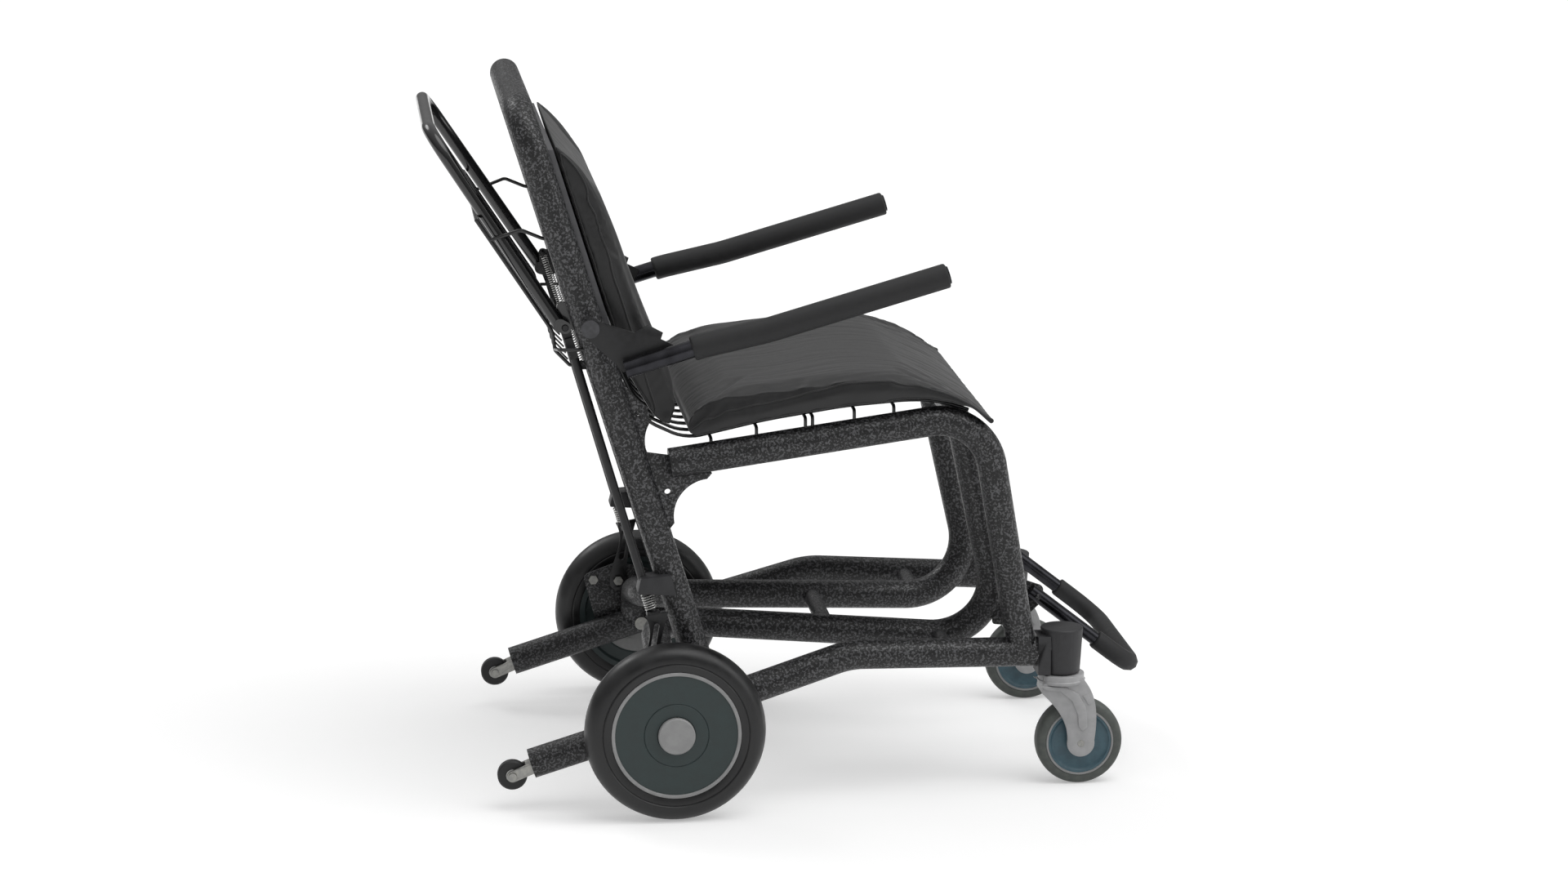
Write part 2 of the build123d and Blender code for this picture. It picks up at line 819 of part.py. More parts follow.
with BuildPart() as rod_guides:
    for side, word in sides:
        with BuildSketch(side_view(side * (back_half + guide_outer_y) / 2)) as block:
            with BuildLine():
                FilletPolyline(
                    (-47, guide_foot_z + 2), (-42, guide_foot_z + guide_h),
                    (upright_x(guide_foot_z + guide_h), guide_foot_z + guide_h + 4),
                    (upright_x(guide_foot_z), guide_foot_z - 2),
                    radius=2, close=True,
                )
            make_face()
        extrude(block.sketch, amount=(guide_outer_y - back_half) / 2, both=True)
        bar(
            rod_spot(side, guide_foot_z - 20), rod_spot(side, guide_foot_z + guide_h + 20),
            rod_d + 2 * running_gap, Mode.SUBTRACT,
        )
    take_away(back_frame)
save(rod_guides, "rod_guides")

arm_travel = crank_arm * radians(handle_swing) + 1
brake_arms = {}
for side, word in sides:
    arm_mid = side * (bracket_y - arm_t / 2 - side_gap)
    foot_z = arm_foot_z - arm_travel / 2
    with BuildPart() as arm:
        with BuildSketch(side_view(arm_mid)) as outline:
            with BuildLine():
                Line((-36, 279), (-4, 285))
                Spline((-4, 285), (-12, 255), (-18, 225), (arm_foot_x + arm_foot_r, foot_z))
                ThreePointArc(
                    (arm_foot_x + arm_foot_r, foot_z),
                    (arm_foot_x, foot_z - arm_foot_r),
                    (arm_foot_x - arm_foot_r, foot_z),
                )
                Spline((arm_foot_x - arm_foot_r, foot_z), (-40, 215), (-31, 245), (-36, 279))
            make_face()
        extrude(outline.sketch, amount=arm_t / 2, both=True)
        with BuildSketch(side_view(arm_mid)) as slots:
            SlotCenterToCenter(42, 7, rotation=80)
        cut = extrude(slots.sketch, amount=arm_t, both=True, mode=Mode.PRIVATE)
        add(cut.moved(Location((-24, 0, 245))), mode=Mode.SUBTRACT)
        with BuildSketch(side_view(arm_mid)) as play:
            SlotCenterToCenter(arm_travel, bolt_d + 2 * running_gap, rotation=90 + degrees(rod_lean))
        cut = extrude(play.sketch, amount=arm_t, both=True, mode=Mode.PRIVATE)
        low_x = arm_foot_x + sin(rod_lean) * arm_travel / 2
        low_z = arm_foot_z - cos(rod_lean) * arm_travel / 2
        add(cut.moved(Location((low_x, 0, low_z))), mode=Mode.SUBTRACT)
        tab_y = side * (rod_low_y + bracket_y - side_gap) / 2 - side * 3
        with BuildSketch(Plane(origin=spot(rod_low_x + 1, tab_y, arm_top_z - arm_tab_t))) as tab:
            Rectangle(18, 22)
        extrude(tab.sketch, amount=arm_tab_t)
    brake_arms[side] = arm

for side, word in sides:
    with BuildPart() as rod:
        bar(rod_spot(side, arm_top_z - arm_tab_t - 6), rod_spot(side, rod_top_z - coupling_long), rod_d)
        with BuildSketch(rod_plane(side, rod_top_z - coupling_long)) as coupling:
            Rectangle(coupling_w, coupling_deep)
        extrude(coupling.sketch, amount=coupling_long - clevis_r - 6)
        with BuildSketch(side_view(side * rod_top_y)) as eye:
            with Locations((rod_top_x, rod_top_z)):
                Circle(clevis_r - 1)
            low = rod_spot(side, rod_top_z - clevis_r - 10)
            with Locations((low[0] - axle_x, low[2])):
                Circle(coupling_w / 2)
            make_hull()
        extrude(eye.sketch, amount=eye_t / 2, both=True)
        pin_near = side * (crank_inner_y + crank_t + side_gap)
        cross_bar(rod_top_x, rod_top_z, pin_near, side * (clevis_outer_y + 2), bolt_d)
    save(rod, f"{word}_brake_rod")
    with BuildPart() as arm:
        add(brake_arms[side].part)
        take_away(rod)
    save(arm, f"{word}_brake_arm")

# Hex bolts hold the brake arm's foot and the bracket.
with BuildPart() as bracket_bolts:
    for side, word in sides:
        outer = side * (bracket_y + bracket_t)
        for place, head_y in ((front_bolt, bracket_y - arm_t - 3 * side_gap), (rear_bolt, bracket_y)):
            cross_bar(place[0], place[1], side * head_y, outer, bolt_d)
            with BuildSketch(side_view(side * (head_y - bolt_head_t / 2))) as head:
                with Locations(place):
                    RegularPolygon(bolt_head_w / 2, 6, major_radius=False)
            extrude(head.sketch, amount=bolt_head_t / 2, both=True)
save(bracket_bolts, "bracket_bolts")

# Springs, drawn as sleeves of the coils' outer size.
with BuildPart() as brake_springs:
    end_tilt = brake_spring_d / 2 * sin(rod_lean) + soft_gap
    inner_d = brake_spring_d - 2 * brake_spring_wall
    for side, word in sides:
        low = arm_top_z + end_tilt
        high = guide_foot_z - end_tilt
        bar(rod_spot(side, low), rod_spot(side, high), brake_spring_d)
        bar(rod_spot(side, low - 9), rod_spot(side, high + 9), inner_d, Mode.SUBTRACT)
save(brake_springs, "brake_springs")

with BuildPart() as handle_springs:
    for side, word in sides:
        low = Vector(*spot(spring_foot_x, side * spring_y, spring_foot_z))
        high = Vector(*spot(ear_x, side * spring_y, ear_z))
        along = (high - low).normalized()
        start = low + along * 3
        end = high - along * 3
        bar(start, end, handle_spring_d)
        bar(
            start - along, end + along,
            handle_spring_d - 2 * handle_spring_wall, Mode.SUBTRACT,
        )
save(handle_springs, "handle_springs")

# Back board on the uprights, with the back cushion on it.
board_rear = sqrt(tube_r**2 - (back_half - board_half) ** 2) + running_gap
board_front = board_rear + board_t
with BuildPart() as back_board:
    with BuildSketch(side_view(0)):
        with BuildLine():
            Polyline(
                (upright_x(board_low_z, board_rear), board_low_z),
                (upright_x(board_top_z, board_rear), board_top_z),
                (upright_x(board_top_z, board_front), board_top_z),
                (upright_x(board_low_z, board_front), board_low_z),
                close=True,
            )
        make_face()
    extrude(amount=board_half, both=True)
save(back_board, "back_board")

cushion_rear = board_front + soft_gap
with BuildPart() as back_cushion:
    with BuildSketch(side_view(0)):
        with BuildLine():
            top = (upright_x(944, cushion_rear), 944)
            low = (upright_x(613, cushion_rear), 613)
            Spline(top, (-119, 913), (-98, 878), (-59, 778), (-26, 688), (-1, 626), (15, 580))
            Spline((15, 580), (16, 556), (5, 539))
            ThreePointArc((5, 539), (-11, 545), (-24, 557))
            Line((-24, 557), low)
            Line(low, top)
        make_face()
    extrude(amount=back_cushion_half, both=True)
save(back_cushion, "back_cushion")

# The rods of the wire grid follow this route in the side view, and the seat cushion lies on them.
grid_route = (
    (-78, 650), (-34, 550), (26, 521.5), (138, 546), (250, 563), (345, 570), (386, 566.5), (425, 553.5),
)
grid_radii = [30, 40, 200, 200, 200, 100]
seat_lift = grid_wire_d / 2 + soft_gap

# Seat cushion with a waterfall front that wraps over the bend of the side frames.
with BuildPart() as seat_cushion:
    with BuildSketch(side_view(0)):
        with BuildLine():
            Spline(
                (21, 556), (29, 566), (138, 595), (242, 607), (310, 607), (365, 598), (407, 583), (449, 554),
            )
            Spline((449, 554), (463, 541), (454, 533.5))
            Polyline(
                (454, 533.5), (428, 558),
                *[(x, z + seat_lift) for x, z in reversed(grid_route[3:7])],
                (40, 524.6 + seat_lift),
            )
            Spline((40, 524.6 + seat_lift), (24, 537), (21, 556))
        make_face()
    extrude(amount=seat_half, both=True)
save(seat_cushion, "seat_cushion")

# Wire grid: rods from front to back under the seat cushion and up behind the back cushion,
# with cross wires below them that turn down onto the seat rails.
cross_wire_x = (60, 124, 193, 203, 262, 318)
wire_gap = 0.1


def grid_z(x):
    """Height of the grid's rods above x, between the points of their route."""
    for (x0, z0), (x1, z1) in zip(grid_route, grid_route[1:]):
        if x0 <= x <= x1:
            return z0 + (z1 - z0) * (x - x0) / (x1 - x0)


def rail_y(x):
    """Half width of the seat rails above x."""
    return back_half - (back_half - seat_front_half) * (x - rail_rear_x) / (rail_front_x - rail_rear_x)


with BuildPart() as seat_wire_grid:
    for count in range(grid_rods):
        y = -grid_half + count * 2 * grid_half / (grid_rods - 1)
        bent_wire([spot(x, y, z) for x, z in grid_route], grid_radii, grid_wire_d)
    for x in cross_wire_x:
        z = grid_z(x) - grid_wire_d - wire_gap
        foot_z = rail_z(x) + tube_r - 1
        reach = rail_y(x)
        bent_wire(
            [spot(x, -reach, foot_z), spot(x, -reach, z), spot(x, reach, z), spot(x, reach, foot_z)],
            4,
            grid_wire_d,
        )
    take_away(*side_frames.values())
save(seat_wire_grid, "seat_wire_grid")

# Wire basket for papers, a shallow pocket behind the push handle, hooked to the uprights.
handle_slope = (handle_top_x - leg_end_x) / (handle_top_z - leg_end_z)
handle_lean = atan2(-handle_slope, 1)
basket_off = (handle_tube_d / 2 + basket_rim_d / 2 + 2) / cos(handle_lean)


def basket_x(z):
    """The basket's slope follows the handle's legs, a little behind them."""
    return leg_end_x + handle_slope * (z - leg_end_z) - basket_off


basket_route = (
    (basket_x(basket_top_z), basket_top_z), (basket_x(676), 676), (-155, 650), (-134, 628), (-128, 632),
)
with BuildPart() as chart_basket:
    for side, word in sides:
        bent_tube([spot(x, side * basket_half, z) for x, z in basket_route], [30, 8, 3], basket_rim_d)
    for x, z in (basket_route[0], basket_route[-1]):
        cross_bar(x, z, -basket_half, basket_half, basket_rim_d)
    for side, word in sides:
        hook_y = side * (basket_half + 8)
        hook_x = upright_x(808)
        bent_tube(
            [
                spot(hook_x, hook_y, 803),
                spot(-172, hook_y, 809),
                spot(-200, hook_y, 821),
                spot(basket_x(806), side * basket_half, 806),
            ],
            [10, 10],
            basket_rim_d,
        )
        foot_y = side * (rod_low_y - 8)
        bent_tube(
            [
                spot(upright_x(656), foot_y, 656),
                spot(-150, foot_y, 656),
                spot(-155, side * basket_half, 652),
            ],
            6,
            basket_rim_d,
        )
    take_away(back_frame)
    step = 2 * basket_half / (basket_wires + 1)
    for count in range(1, basket_wires + 1):
        bent_wire(
            [spot(x - 0.4, -basket_half + count * step, z) for x, z in basket_route[:4]],
            [30, 8],
            basket_wire_d,
        )
save(chart_basket, "chart_basket")

# Footrest brackets: plates on the inner legs with a stud each, on which the footrest turns.
stud_end_y = footrest_half + footrest_tube_d / 2 + 3
plate_y = footrest_half - footrest_tube_d / 2 - side_gap - footrest_plate_t / 2
with BuildPart() as footrest_brackets:
    for side, word in sides:
        with BuildSketch(side_view(side * plate_y)) as plate:
            with BuildLine():
                FilletPolyline(
                    (478, 216), (478, 284), (522, 281), (footrest_pivot_x + 12, footrest_pivot_z + 10),
                    (footrest_pivot_x + 8, footrest_pivot_z - 14), (512, 212),
                    radius=[4, 4, 8, 8, 8, 4], close=True,
                )
            make_face()
        extrude(plate.sketch, amount=footrest_plate_t / 2, both=True)
        cross_bar(footrest_pivot_x, footrest_pivot_z, side * plate_y, side * stud_end_y, footrest_pin_d)
    take_away(*inner_tubes.values())
save(footrest_brackets, "footrest_brackets")

# Footrest: a bent tube on the studs with a foam grip round its front.
foot_run_x = footrest_front_x - footrest_pivot_x
foot_run_z = footrest_front_z - footrest_pivot_z
foot_slope = foot_run_z / foot_run_x
back_end_x = footrest_pivot_x - 10


def foot_spot(x, y):
    return spot(x, y, footrest_pivot_z + foot_slope * (x - footrest_pivot_x))


with BuildPart() as footrest_tube:
    bent_tube(
        [
            foot_spot(back_end_x, footrest_half),
            foot_spot(footrest_front_x, footrest_half),
            foot_spot(footrest_front_x, -footrest_half),
            foot_spot(back_end_x, -footrest_half),
        ],
        footrest_corner_r,
        footrest_tube_d,
    )
    cross_bar(
        footrest_pivot_x, footrest_pivot_z, -stud_end_y - 1, stud_end_y + 1,
        footrest_pin_d + 2 * running_gap, Mode.SUBTRACT,
    )
save(footrest_tube, "footrest_tube")

with BuildPart() as footrest_grip:
    bent_tube(
        [
            foot_spot(footrest_grip_start_x, footrest_half),
            foot_spot(footrest_front_x, footrest_half),
            foot_spot(footrest_front_x, -footrest_half),
            foot_spot(footrest_grip_start_x, -footrest_half),
        ],
        footrest_corner_r,
        footrest_grip_d,
    )
    take_away(footrest_tube)
save(footrest_grip, "footrest_grip")
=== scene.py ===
import json
import math
import bmesh
import bpy
from mathutils import Matrix, Vector, noise


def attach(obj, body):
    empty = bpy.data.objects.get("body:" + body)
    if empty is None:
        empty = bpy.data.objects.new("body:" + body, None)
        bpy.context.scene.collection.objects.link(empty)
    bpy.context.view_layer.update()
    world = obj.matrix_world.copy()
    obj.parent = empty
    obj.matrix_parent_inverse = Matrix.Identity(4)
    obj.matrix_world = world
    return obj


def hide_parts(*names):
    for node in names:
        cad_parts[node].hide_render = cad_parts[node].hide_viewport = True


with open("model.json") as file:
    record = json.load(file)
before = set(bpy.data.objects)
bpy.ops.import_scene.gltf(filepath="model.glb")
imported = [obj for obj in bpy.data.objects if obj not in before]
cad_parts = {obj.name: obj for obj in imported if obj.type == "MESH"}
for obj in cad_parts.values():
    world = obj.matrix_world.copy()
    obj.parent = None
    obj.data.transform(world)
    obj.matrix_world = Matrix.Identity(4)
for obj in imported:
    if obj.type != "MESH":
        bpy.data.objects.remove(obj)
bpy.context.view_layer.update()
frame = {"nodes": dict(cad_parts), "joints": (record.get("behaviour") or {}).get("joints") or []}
nodes = frame["nodes"]
sides = ((1, "left"), (-1, "right"))
wheelJoint = next(j for j in frame["joints"] if j["name"] == "left_wheel_spin")
axleX = wheelJoint["pos_m"][0]
print("frame loaded,", len(nodes), "nodes")


def spot(x, y, z):
    return Vector((axleX + x / 1000, y / 1000, z / 1000))  # millimetres from the rear axle, middle and floor


# Camera

camera = {"x": -472.74, "y": -5781.4, "z": 1732.12, "turnDeg": 6.55, "tiltDeg": 12.304, "lensMm": 93.667}
cameraData = bpy.data.cameras.new("studioCamera")
cameraData.lens = camera["lensMm"]
cameraData.sensor_width = 36
cameraData.clip_end = 100
cameraObject = bpy.data.objects.new("studioCamera", cameraData)
cameraObject.location = spot(camera["x"], camera["y"], camera["z"])
cameraObject.rotation_euler = (math.radians(90 - camera["tiltDeg"]), 0, math.radians(-camera["turnDeg"]))
bpy.context.scene.collection.objects.link(cameraObject)
bpy.context.scene.camera = cameraObject
bpy.context.scene.view_settings.view_transform = "Standard"


# Material helpers

def toLinear(hexColour):
    values = []
    for start in (0, 2, 4):
        value = int(hexColour[start:start + 2], 16) / 255
        values.append(value / 12.92 if value <= 0.04045 else ((value + 0.055) / 1.055) ** 2.4)
    return (*values, 1)


def addNode(tree, kind, settings=None, links=None):
    node = tree.nodes.new(kind)
    for name, value in (settings or {}).items():
        if name in node.inputs:
            node.inputs[name].default_value = value
        else:
            setattr(node, name, value)
    for name, source in (links or {}).items():
        tree.links.new(source, node.inputs[name])
    return node


def startMaterial(name, colour, settings):
    material = bpy.data.materials.new(name)
    material.use_nodes = True
    shader = material.node_tree.nodes["Principled BSDF"]
    shader.inputs["Base Color"].default_value = toLinear(colour)
    for socket, value in settings.items():
        shader.inputs[socket].default_value = value
    return material, material.node_tree, shader


def perMetre(millimetres):
    return 1000 / millimetres  # a noise scale that gives features about this size


def grainyMaterial(name, colours, sizesMm, bump, settings, roughness=None):
    # Two colours by a patchy noise, a fine bump, and a roughness that varies with the patches.
    material, tree, shader = startMaterial(name, colours[0], settings)
    where = addNode(tree, "ShaderNodeTexCoord")
    patches = addNode(tree, "ShaderNodeTexNoise", {"Scale": perMetre(sizesMm[0]), "Detail": 3.0},
                      {"Vector": where.outputs["Object"]})
    spread = addNode(tree, "ShaderNodeMapRange", {"From Min": 0.35, "From Max": 0.65},
                     {"Value": patches.outputs["Fac"]})
    colour = addNode(tree, "ShaderNodeMixRGB",
                     {"Color1": toLinear(colours[0]), "Color2": toLinear(colours[1])},
                     {"Fac": spread.outputs["Result"]})
    tree.links.new(colour.outputs["Color"], shader.inputs["Base Color"])
    grain = addNode(tree, "ShaderNodeTexNoise", {"Scale": perMetre(sizesMm[1]), "Detail": 2.0},
                    {"Vector": where.outputs["Object"]})
    relief = addNode(tree, "ShaderNodeBump", {"Strength": bump[0], "Distance": bump[1] / 1000},
                     {"Height": grain.outputs["Fac"]})
    tree.links.new(relief.outputs["Normal"], shader.inputs["Normal"])
    if roughness:
        rough = addNode(tree, "ShaderNodeMapRange",
                        {"From Min": 0.3, "From Max": 0.7, "To Min": roughness[0], "To Max": roughness[1]},
                        {"Value": patches.outputs["Fac"]})
        tree.links.new(rough.outputs["Result"], shader.inputs["Roughness"])
    return material, tree, shader


# Materials, each named for what it is and how its surface was made

def makeSpeckledCoat():
    # Epoxy powder sprayed on steel and baked to a hammer finish, with a bump of pits and crests. The
    # near-black of the pits is painted shade in the hollows, the grey of the crests is painted sparkle, and
    # the crests are also less rough.
    material, tree, shader = startMaterial("powderCoatHammered", "1a1a1c", {"Metallic": 0.0, "IOR": 1.5})
    where = addNode(tree, "ShaderNodeTexCoord")
    crests = addNode(tree, "ShaderNodeTexNoise", {"Scale": perMetre(3.2), "Detail": 2.0, "Roughness": 0.6},
                     {"Vector": where.outputs["Object"]})
    pitShadeAndCrestSparkle = addNode(tree, "ShaderNodeMapRange", {"From Min": 0.5, "From Max": 0.62},
                       {"Value": crests.outputs["Fac"]})
    # Painted shade and sparkle: near black where the bump is low, grey where it is high.
    colour = addNode(tree, "ShaderNodeMixRGB", {"Color1": toLinear("030304"), "Color2": toLinear("5a5a5c")},
                     {"Fac": pitShadeAndCrestSparkle.outputs["Result"]})
    tree.links.new(colour.outputs["Color"], shader.inputs["Base Color"])
    gloss = addNode(tree, "ShaderNodeMapRange", {"To Min": 0.5, "To Max": 0.26},
                    {"Value": pitShadeAndCrestSparkle.outputs["Result"]})
    tree.links.new(gloss.outputs["Result"], shader.inputs["Roughness"])
    relief = addNode(tree, "ShaderNodeBump", {"Strength": 0.9, "Distance": 0.0006},
                     {"Height": crests.outputs["Fac"]})
    tree.links.new(relief.outputs["Normal"], shader.inputs["Normal"])
    return material


speckledCoat = makeSpeckledCoat()
# Stoved enamel on bent tube: deep gloss, with the faint orange peel of sprayed paint.
glossEnamel = grainyMaterial("enamelStovedGloss", ("0b0b0c", "101012"), (40, 2.5), (0.06, 0.3),
                             {"Coat Weight": 0.5, "Coat Roughness": 0.08}, (0.16, 0.26))[0]
# Fine powder coat on the rods, arms and plates: satin, slightly dusty on wide faces.
satinCoat = grainyMaterial("powderCoatSatin", ("101011", "1b1b1d"), (9, 0.9), (0.15, 0.2),
                           {}, (0.36, 0.5))[0]
# Black chromed steel tube, polished: smoky reflections with light hand marks.
darkPlating = grainyMaterial("blackChromePolished", ("2a2a2d", "3a3a3e"), (30, 4), (0.03, 0.2),
                             {"Metallic": 0.9}, (0.16, 0.3))[0]
# Closed-cell foam rubber, skived: matte with open pores.
foamRubber = grainyMaterial("foamRubberSkived", ("1b1b1c", "262627"), (12, 1.1), (0.35, 0.35),
                            {}, (0.62, 0.78))[0]
# Compression-moulded tyre rubber: soft sheen with a bloom that greys it in patches.
tyreRubber = grainyMaterial("tyreRubberMoulded", ("0e0e0f", "1a1a1b"), (22, 1.4), (0.1, 0.2),
                            {}, (0.32, 0.5))[0]
# Glass-filled nylon, moulded: fine spark-eroded grain.
housingNylon = grainyMaterial("nylonMouldedGrain", ("262628", "303032"), (14, 1.0), (0.12, 0.15),
                              {}, (0.45, 0.6))[0]
discNylon = grainyMaterial("nylonMouldedSlate", ("273232", "2d3939"), (18, 1.2), (0.1, 0.15),
                           {}, (0.42, 0.55))[0]
# ABS, moulded in pale grey: even and softly shiny.
ringPlastic = grainyMaterial("absMouldedRing", ("8c8c8c", "979797"), (14, 1.2), (0.05, 0.1),
                             {}, (0.4, 0.5))[0]
capPlastic = grainyMaterial("absMouldedCap", ("8f8f8f", "999999"), (12, 1.4), (0.05, 0.1),
                            {}, (0.38, 0.5))[0]
# Die-cast zinc with a baked silver-grey paint: smooth, with faint flow marks.
forkCoat = grainyMaterial("zincDieCastPainted", ("a2a2a3", "adadae"), (12, 1.3), (0.12, 0.2),
                          {}, (0.34, 0.46))[0]
# Polypropylene, moulded in blue grey: waxy.
casterHubPlastic = grainyMaterial("polypropyleneMoulded", ("3c5661", "46626d"), (12, 1.4), (0.08, 0.15),
                                  {}, (0.34, 0.46))[0]
# Grey non-marking rubber, moulded: dull and a little dusty.
casterRubber = grainyMaterial("treadRubberMoulded", ("4a4e4b", "575b57"), (10, 1.2), (0.15, 0.2),
                              {}, (0.5, 0.64))[0]
rollerRubber = grainyMaterial("rollerRubberTurned", ("161617", "212122"), (8, 1.0), (0.12, 0.2),
                              {}, (0.45, 0.6))[0]
# Nylon, turned from white rod: fine tool marks.
rollerNylon = grainyMaterial("nylonTurnedWhite", ("c4c4c2", "d2d2d0"), (6, 0.9), (0.06, 0.1),
                             {}, (0.4, 0.5))[0]
# Zinc plated steel: pale metal with a cloudy passivated layer.
zincSteel = grainyMaterial("steelZincPlated", ("8a8a88", "a09f9a"), (5, 0.8), (0.08, 0.1),
                           {"Metallic": 0.9}, (0.3, 0.45))[0]
# Drawn spring steel: bright, with fine lines.
springWire = grainyMaterial("springSteelDrawn", ("c4c4c2", "d6d6d4"), (3, 0.5), (0.05, 0.1),
                            {"Metallic": 0.85}, (0.24, 0.34))[0]
pinSteel = grainyMaterial("steelTurnedPin", ("3e3e40", "4c4c4f"), (8, 0.7), (0.08, 0.1),
                          {"Metallic": 0.3}, (0.4, 0.52))[0]
# Steel wire dipped in black plastic: smooth, thick at the joints.
wireCoat = grainyMaterial("wireDippedBlack", ("101011", "1a1a1b"), (10, 1.2), (0.1, 0.2),
                          {"Coat Weight": 0.3}, (0.28, 0.4))[0]
# Pressed laminate board: satin grey with a cloudy face.
boardLaminate = grainyMaterial("laminateBoardPressed", ("4e4e50", "5c5c5e"), (20, 1.0), (0.08, 0.1),
                               {}, (0.42, 0.55))[0]
# Calendered vinyl on knit backing: fine leather grain with a soft sheen.
upholstery = grainyMaterial("vinylCalenderedBlack", ("0c0c0d", "161617"), (45, 0.8), (0.25, 0.25),
                            {"Sheen Weight": 0.15}, (0.42, 0.56))[0]
print("materials made")


# Finishes of the CAD nodes that stay as they are

def paint(names, material):
    for name in names:
        data = nodes[name].data
        data.materials.clear()
        data.materials.append(material)


def bothSides(*names):
    return [f"{word}_{name}" for name in names for side, word in sides]


paint(["back_frame", "front_cross_tube", "mid_strut", "side_struts",
       *bothSides("side_frame", "outer_rail", "inner_tube")], speckledCoat)
paint(["push_handle"], glossEnamel)
paint(bothSides("brake_rod"), satinCoat)
paint(["footrest_tube", *bothSides("armrest_tube")], darkPlating)
paint(bothSides("roller_tyre"), rollerRubber)
paint(bothSides("roller_hub"), rollerNylon)
paint(["rear_axles", "bracket_bolts", "roller_pins", *bothSides("caster_bolt")], zincSteel)
paint(["pivot_pins"], pinSteel)
paint(["chart_basket"], wireCoat)
paint(["back_board"], boardLaminate)
print("nodes painted")


# Mesh helpers

def finishMesh(bm, name):
    bmesh.ops.remove_doubles(bm, verts=bm.verts, dist=0.00002)
    bmesh.ops.recalc_face_normals(bm, faces=bm.faces)
    mesh = bpy.data.meshes.new(name)
    bm.to_mesh(mesh)
    bm.free()
    piece = bpy.data.objects.new(name, mesh)
    bpy.context.scene.collection.objects.link(piece)
    return piece


def dress(piece, material, body, replaced=(), sharpDeg=35):
    piece.data.materials.clear()
    piece.data.materials.append(material)
    piece.data.shade_smooth()
    piece.data.set_sharp_from_angle(angle=math.radians(sharpDeg))
    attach(piece, body)
    if replaced:
        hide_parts(*replaced)
    return piece


def turned(profile, side, x, z, roundMm=0, steps=96):
    # A lathe-turned shape on a cross axis, from pairs of radius and distance from the middle plane.
    bm = bmesh.new()
    ring = [bm.verts.new(spot(x, side * y, z + radius)) for radius, y in profile]
    for first, second in zip(ring, ring[1:] + ring[:1]):
        bm.edges.new((first, second))
    if roundMm:
        corners = [vert for vert in bm.verts if vert.co.z > z / 1000 + 0.0001]
        bmesh.ops.bevel(bm, geom=corners, offset=roundMm / 1000, segments=3, profile=0.5, affect="VERTICES",
                        clamp_overlap=True, material=-1)
    bmesh.ops.spin(bm, geom=bm.verts[:] + bm.edges[:], cent=spot(x, 0, z), axis=(0, 1, 0),
                   angle=math.tau, steps=steps, use_merge=True)
    return bm


def slab(outline, y, thick, roundMm=0):
    # A flat plate from its outline in the side view, from y outwards by thick, with rounded edges.
    bm = bmesh.new()
    face = bm.faces.new([bm.verts.new(spot(x, y, z)) for x, z in outline])
    grown = bmesh.ops.extrude_face_region(bm, geom=[face])
    bmesh.ops.translate(bm, verts=[v for v in grown["geom"] if isinstance(v, bmesh.types.BMVert)],
                        vec=(0, thick / 1000, 0))
    if roundMm:
        bmesh.ops.bevel(bm, geom=bm.edges[:], offset=roundMm / 1000, segments=3, profile=0.5, affect="EDGES",
                        clamp_overlap=True, material=-1)
    return bm


def softened(node, widthMm, sharpDeg=30):
    # A merged copy of a CAD node, with its sharp edges rounded off.
    bm = bmesh.new()
    bm.from_mesh(nodes[node].data)
    bmesh.ops.remove_doubles(bm, verts=bm.verts, dist=0.00001)
    bmesh.ops.dissolve_limit(bm, angle_limit=math.radians(0.5), verts=bm.verts[:], edges=bm.edges[:])
    sharp = [edge for edge in bm.edges
             if len(edge.link_faces) == 2 and edge.calc_face_angle() > math.radians(sharpDeg)]
    bmesh.ops.bevel(bm, geom=sharp, offset=widthMm / 1000, segments=2, profile=0.5, affect="EDGES",
                    clamp_overlap=True, material=-1)
    return bm


def tubeFrom(bm, radiusMm, name, roundness=2):
    # A round tube along the loose edges of a bmesh.
    mesh = bpy.data.meshes.new(name)
    bm.to_mesh(mesh)
    bm.free()
    path = bpy.data.objects.new(name, mesh)
    bpy.context.scene.collection.objects.link(path)
    bpy.ops.object.select_all(action="DESELECT")
    bpy.context.view_layer.objects.active = path
    path.select_set(True)
    bpy.ops.object.convert(target="CURVE")
    path.data.bevel_depth = radiusMm / 1000
    path.data.bevel_resolution = roundness
    path.data.use_fill_caps = True
    bpy.ops.object.convert(target="MESH")
    return path


def wire(points, radiusMm, bendMm, name):
    # Round wire or tube through points, with its corners bent round.
    bm = bmesh.new()
    route = [bm.verts.new(point) for point in points]
    for first, second in zip(route, route[1:]):
        bm.edges.new((first, second))
    bmesh.ops.bevel(bm, geom=route[1:-1], offset=bendMm / 1000, segments=5, profile=0.5,
                    affect="VERTICES", clamp_overlap=True, material=-1)
    return tubeFrom(bm, radiusMm, name, roundness=3)


def joined(pieces, name):
    bpy.ops.object.select_all(action="DESELECT")
    for piece in pieces:
        piece.select_set(True)
    bpy.context.view_layer.objects.active = pieces[0]
    bpy.ops.object.join()
    pieces[0].name = name
    pieces[0].data.name = name
    return pieces[0]


def coil(start, end, radiusMm, wireMm, turns, steps=18):
    # A helical spring: a small circle of wire spun round the axis while it climbs.
    bm = bmesh.new()
    along = (end - start).normalized()
    across = along.cross(Vector((0, 1, 0))).normalized()
    turn = Matrix((across, along, across.cross(along))).transposed().to_4x4()
    section = Matrix.Translation(start + across * radiusMm / 1000) @ turn
    bmesh.ops.create_circle(bm, cap_ends=False, segments=8, radius=wireMm / 2000, matrix=section)
    climb = (end - start) / (steps * turns)
    bmesh.ops.spin(bm, geom=bm.verts[:] + bm.edges[:], cent=start, axis=along, dvec=climb,
                   angle=math.tau * turns, steps=steps * turns, use_merge=False)
    ends = [edge for edge in bm.edges if edge.is_boundary]
    bmesh.ops.holes_fill(bm, edges=ends, sides=8)
    return bm


# Rear wheels

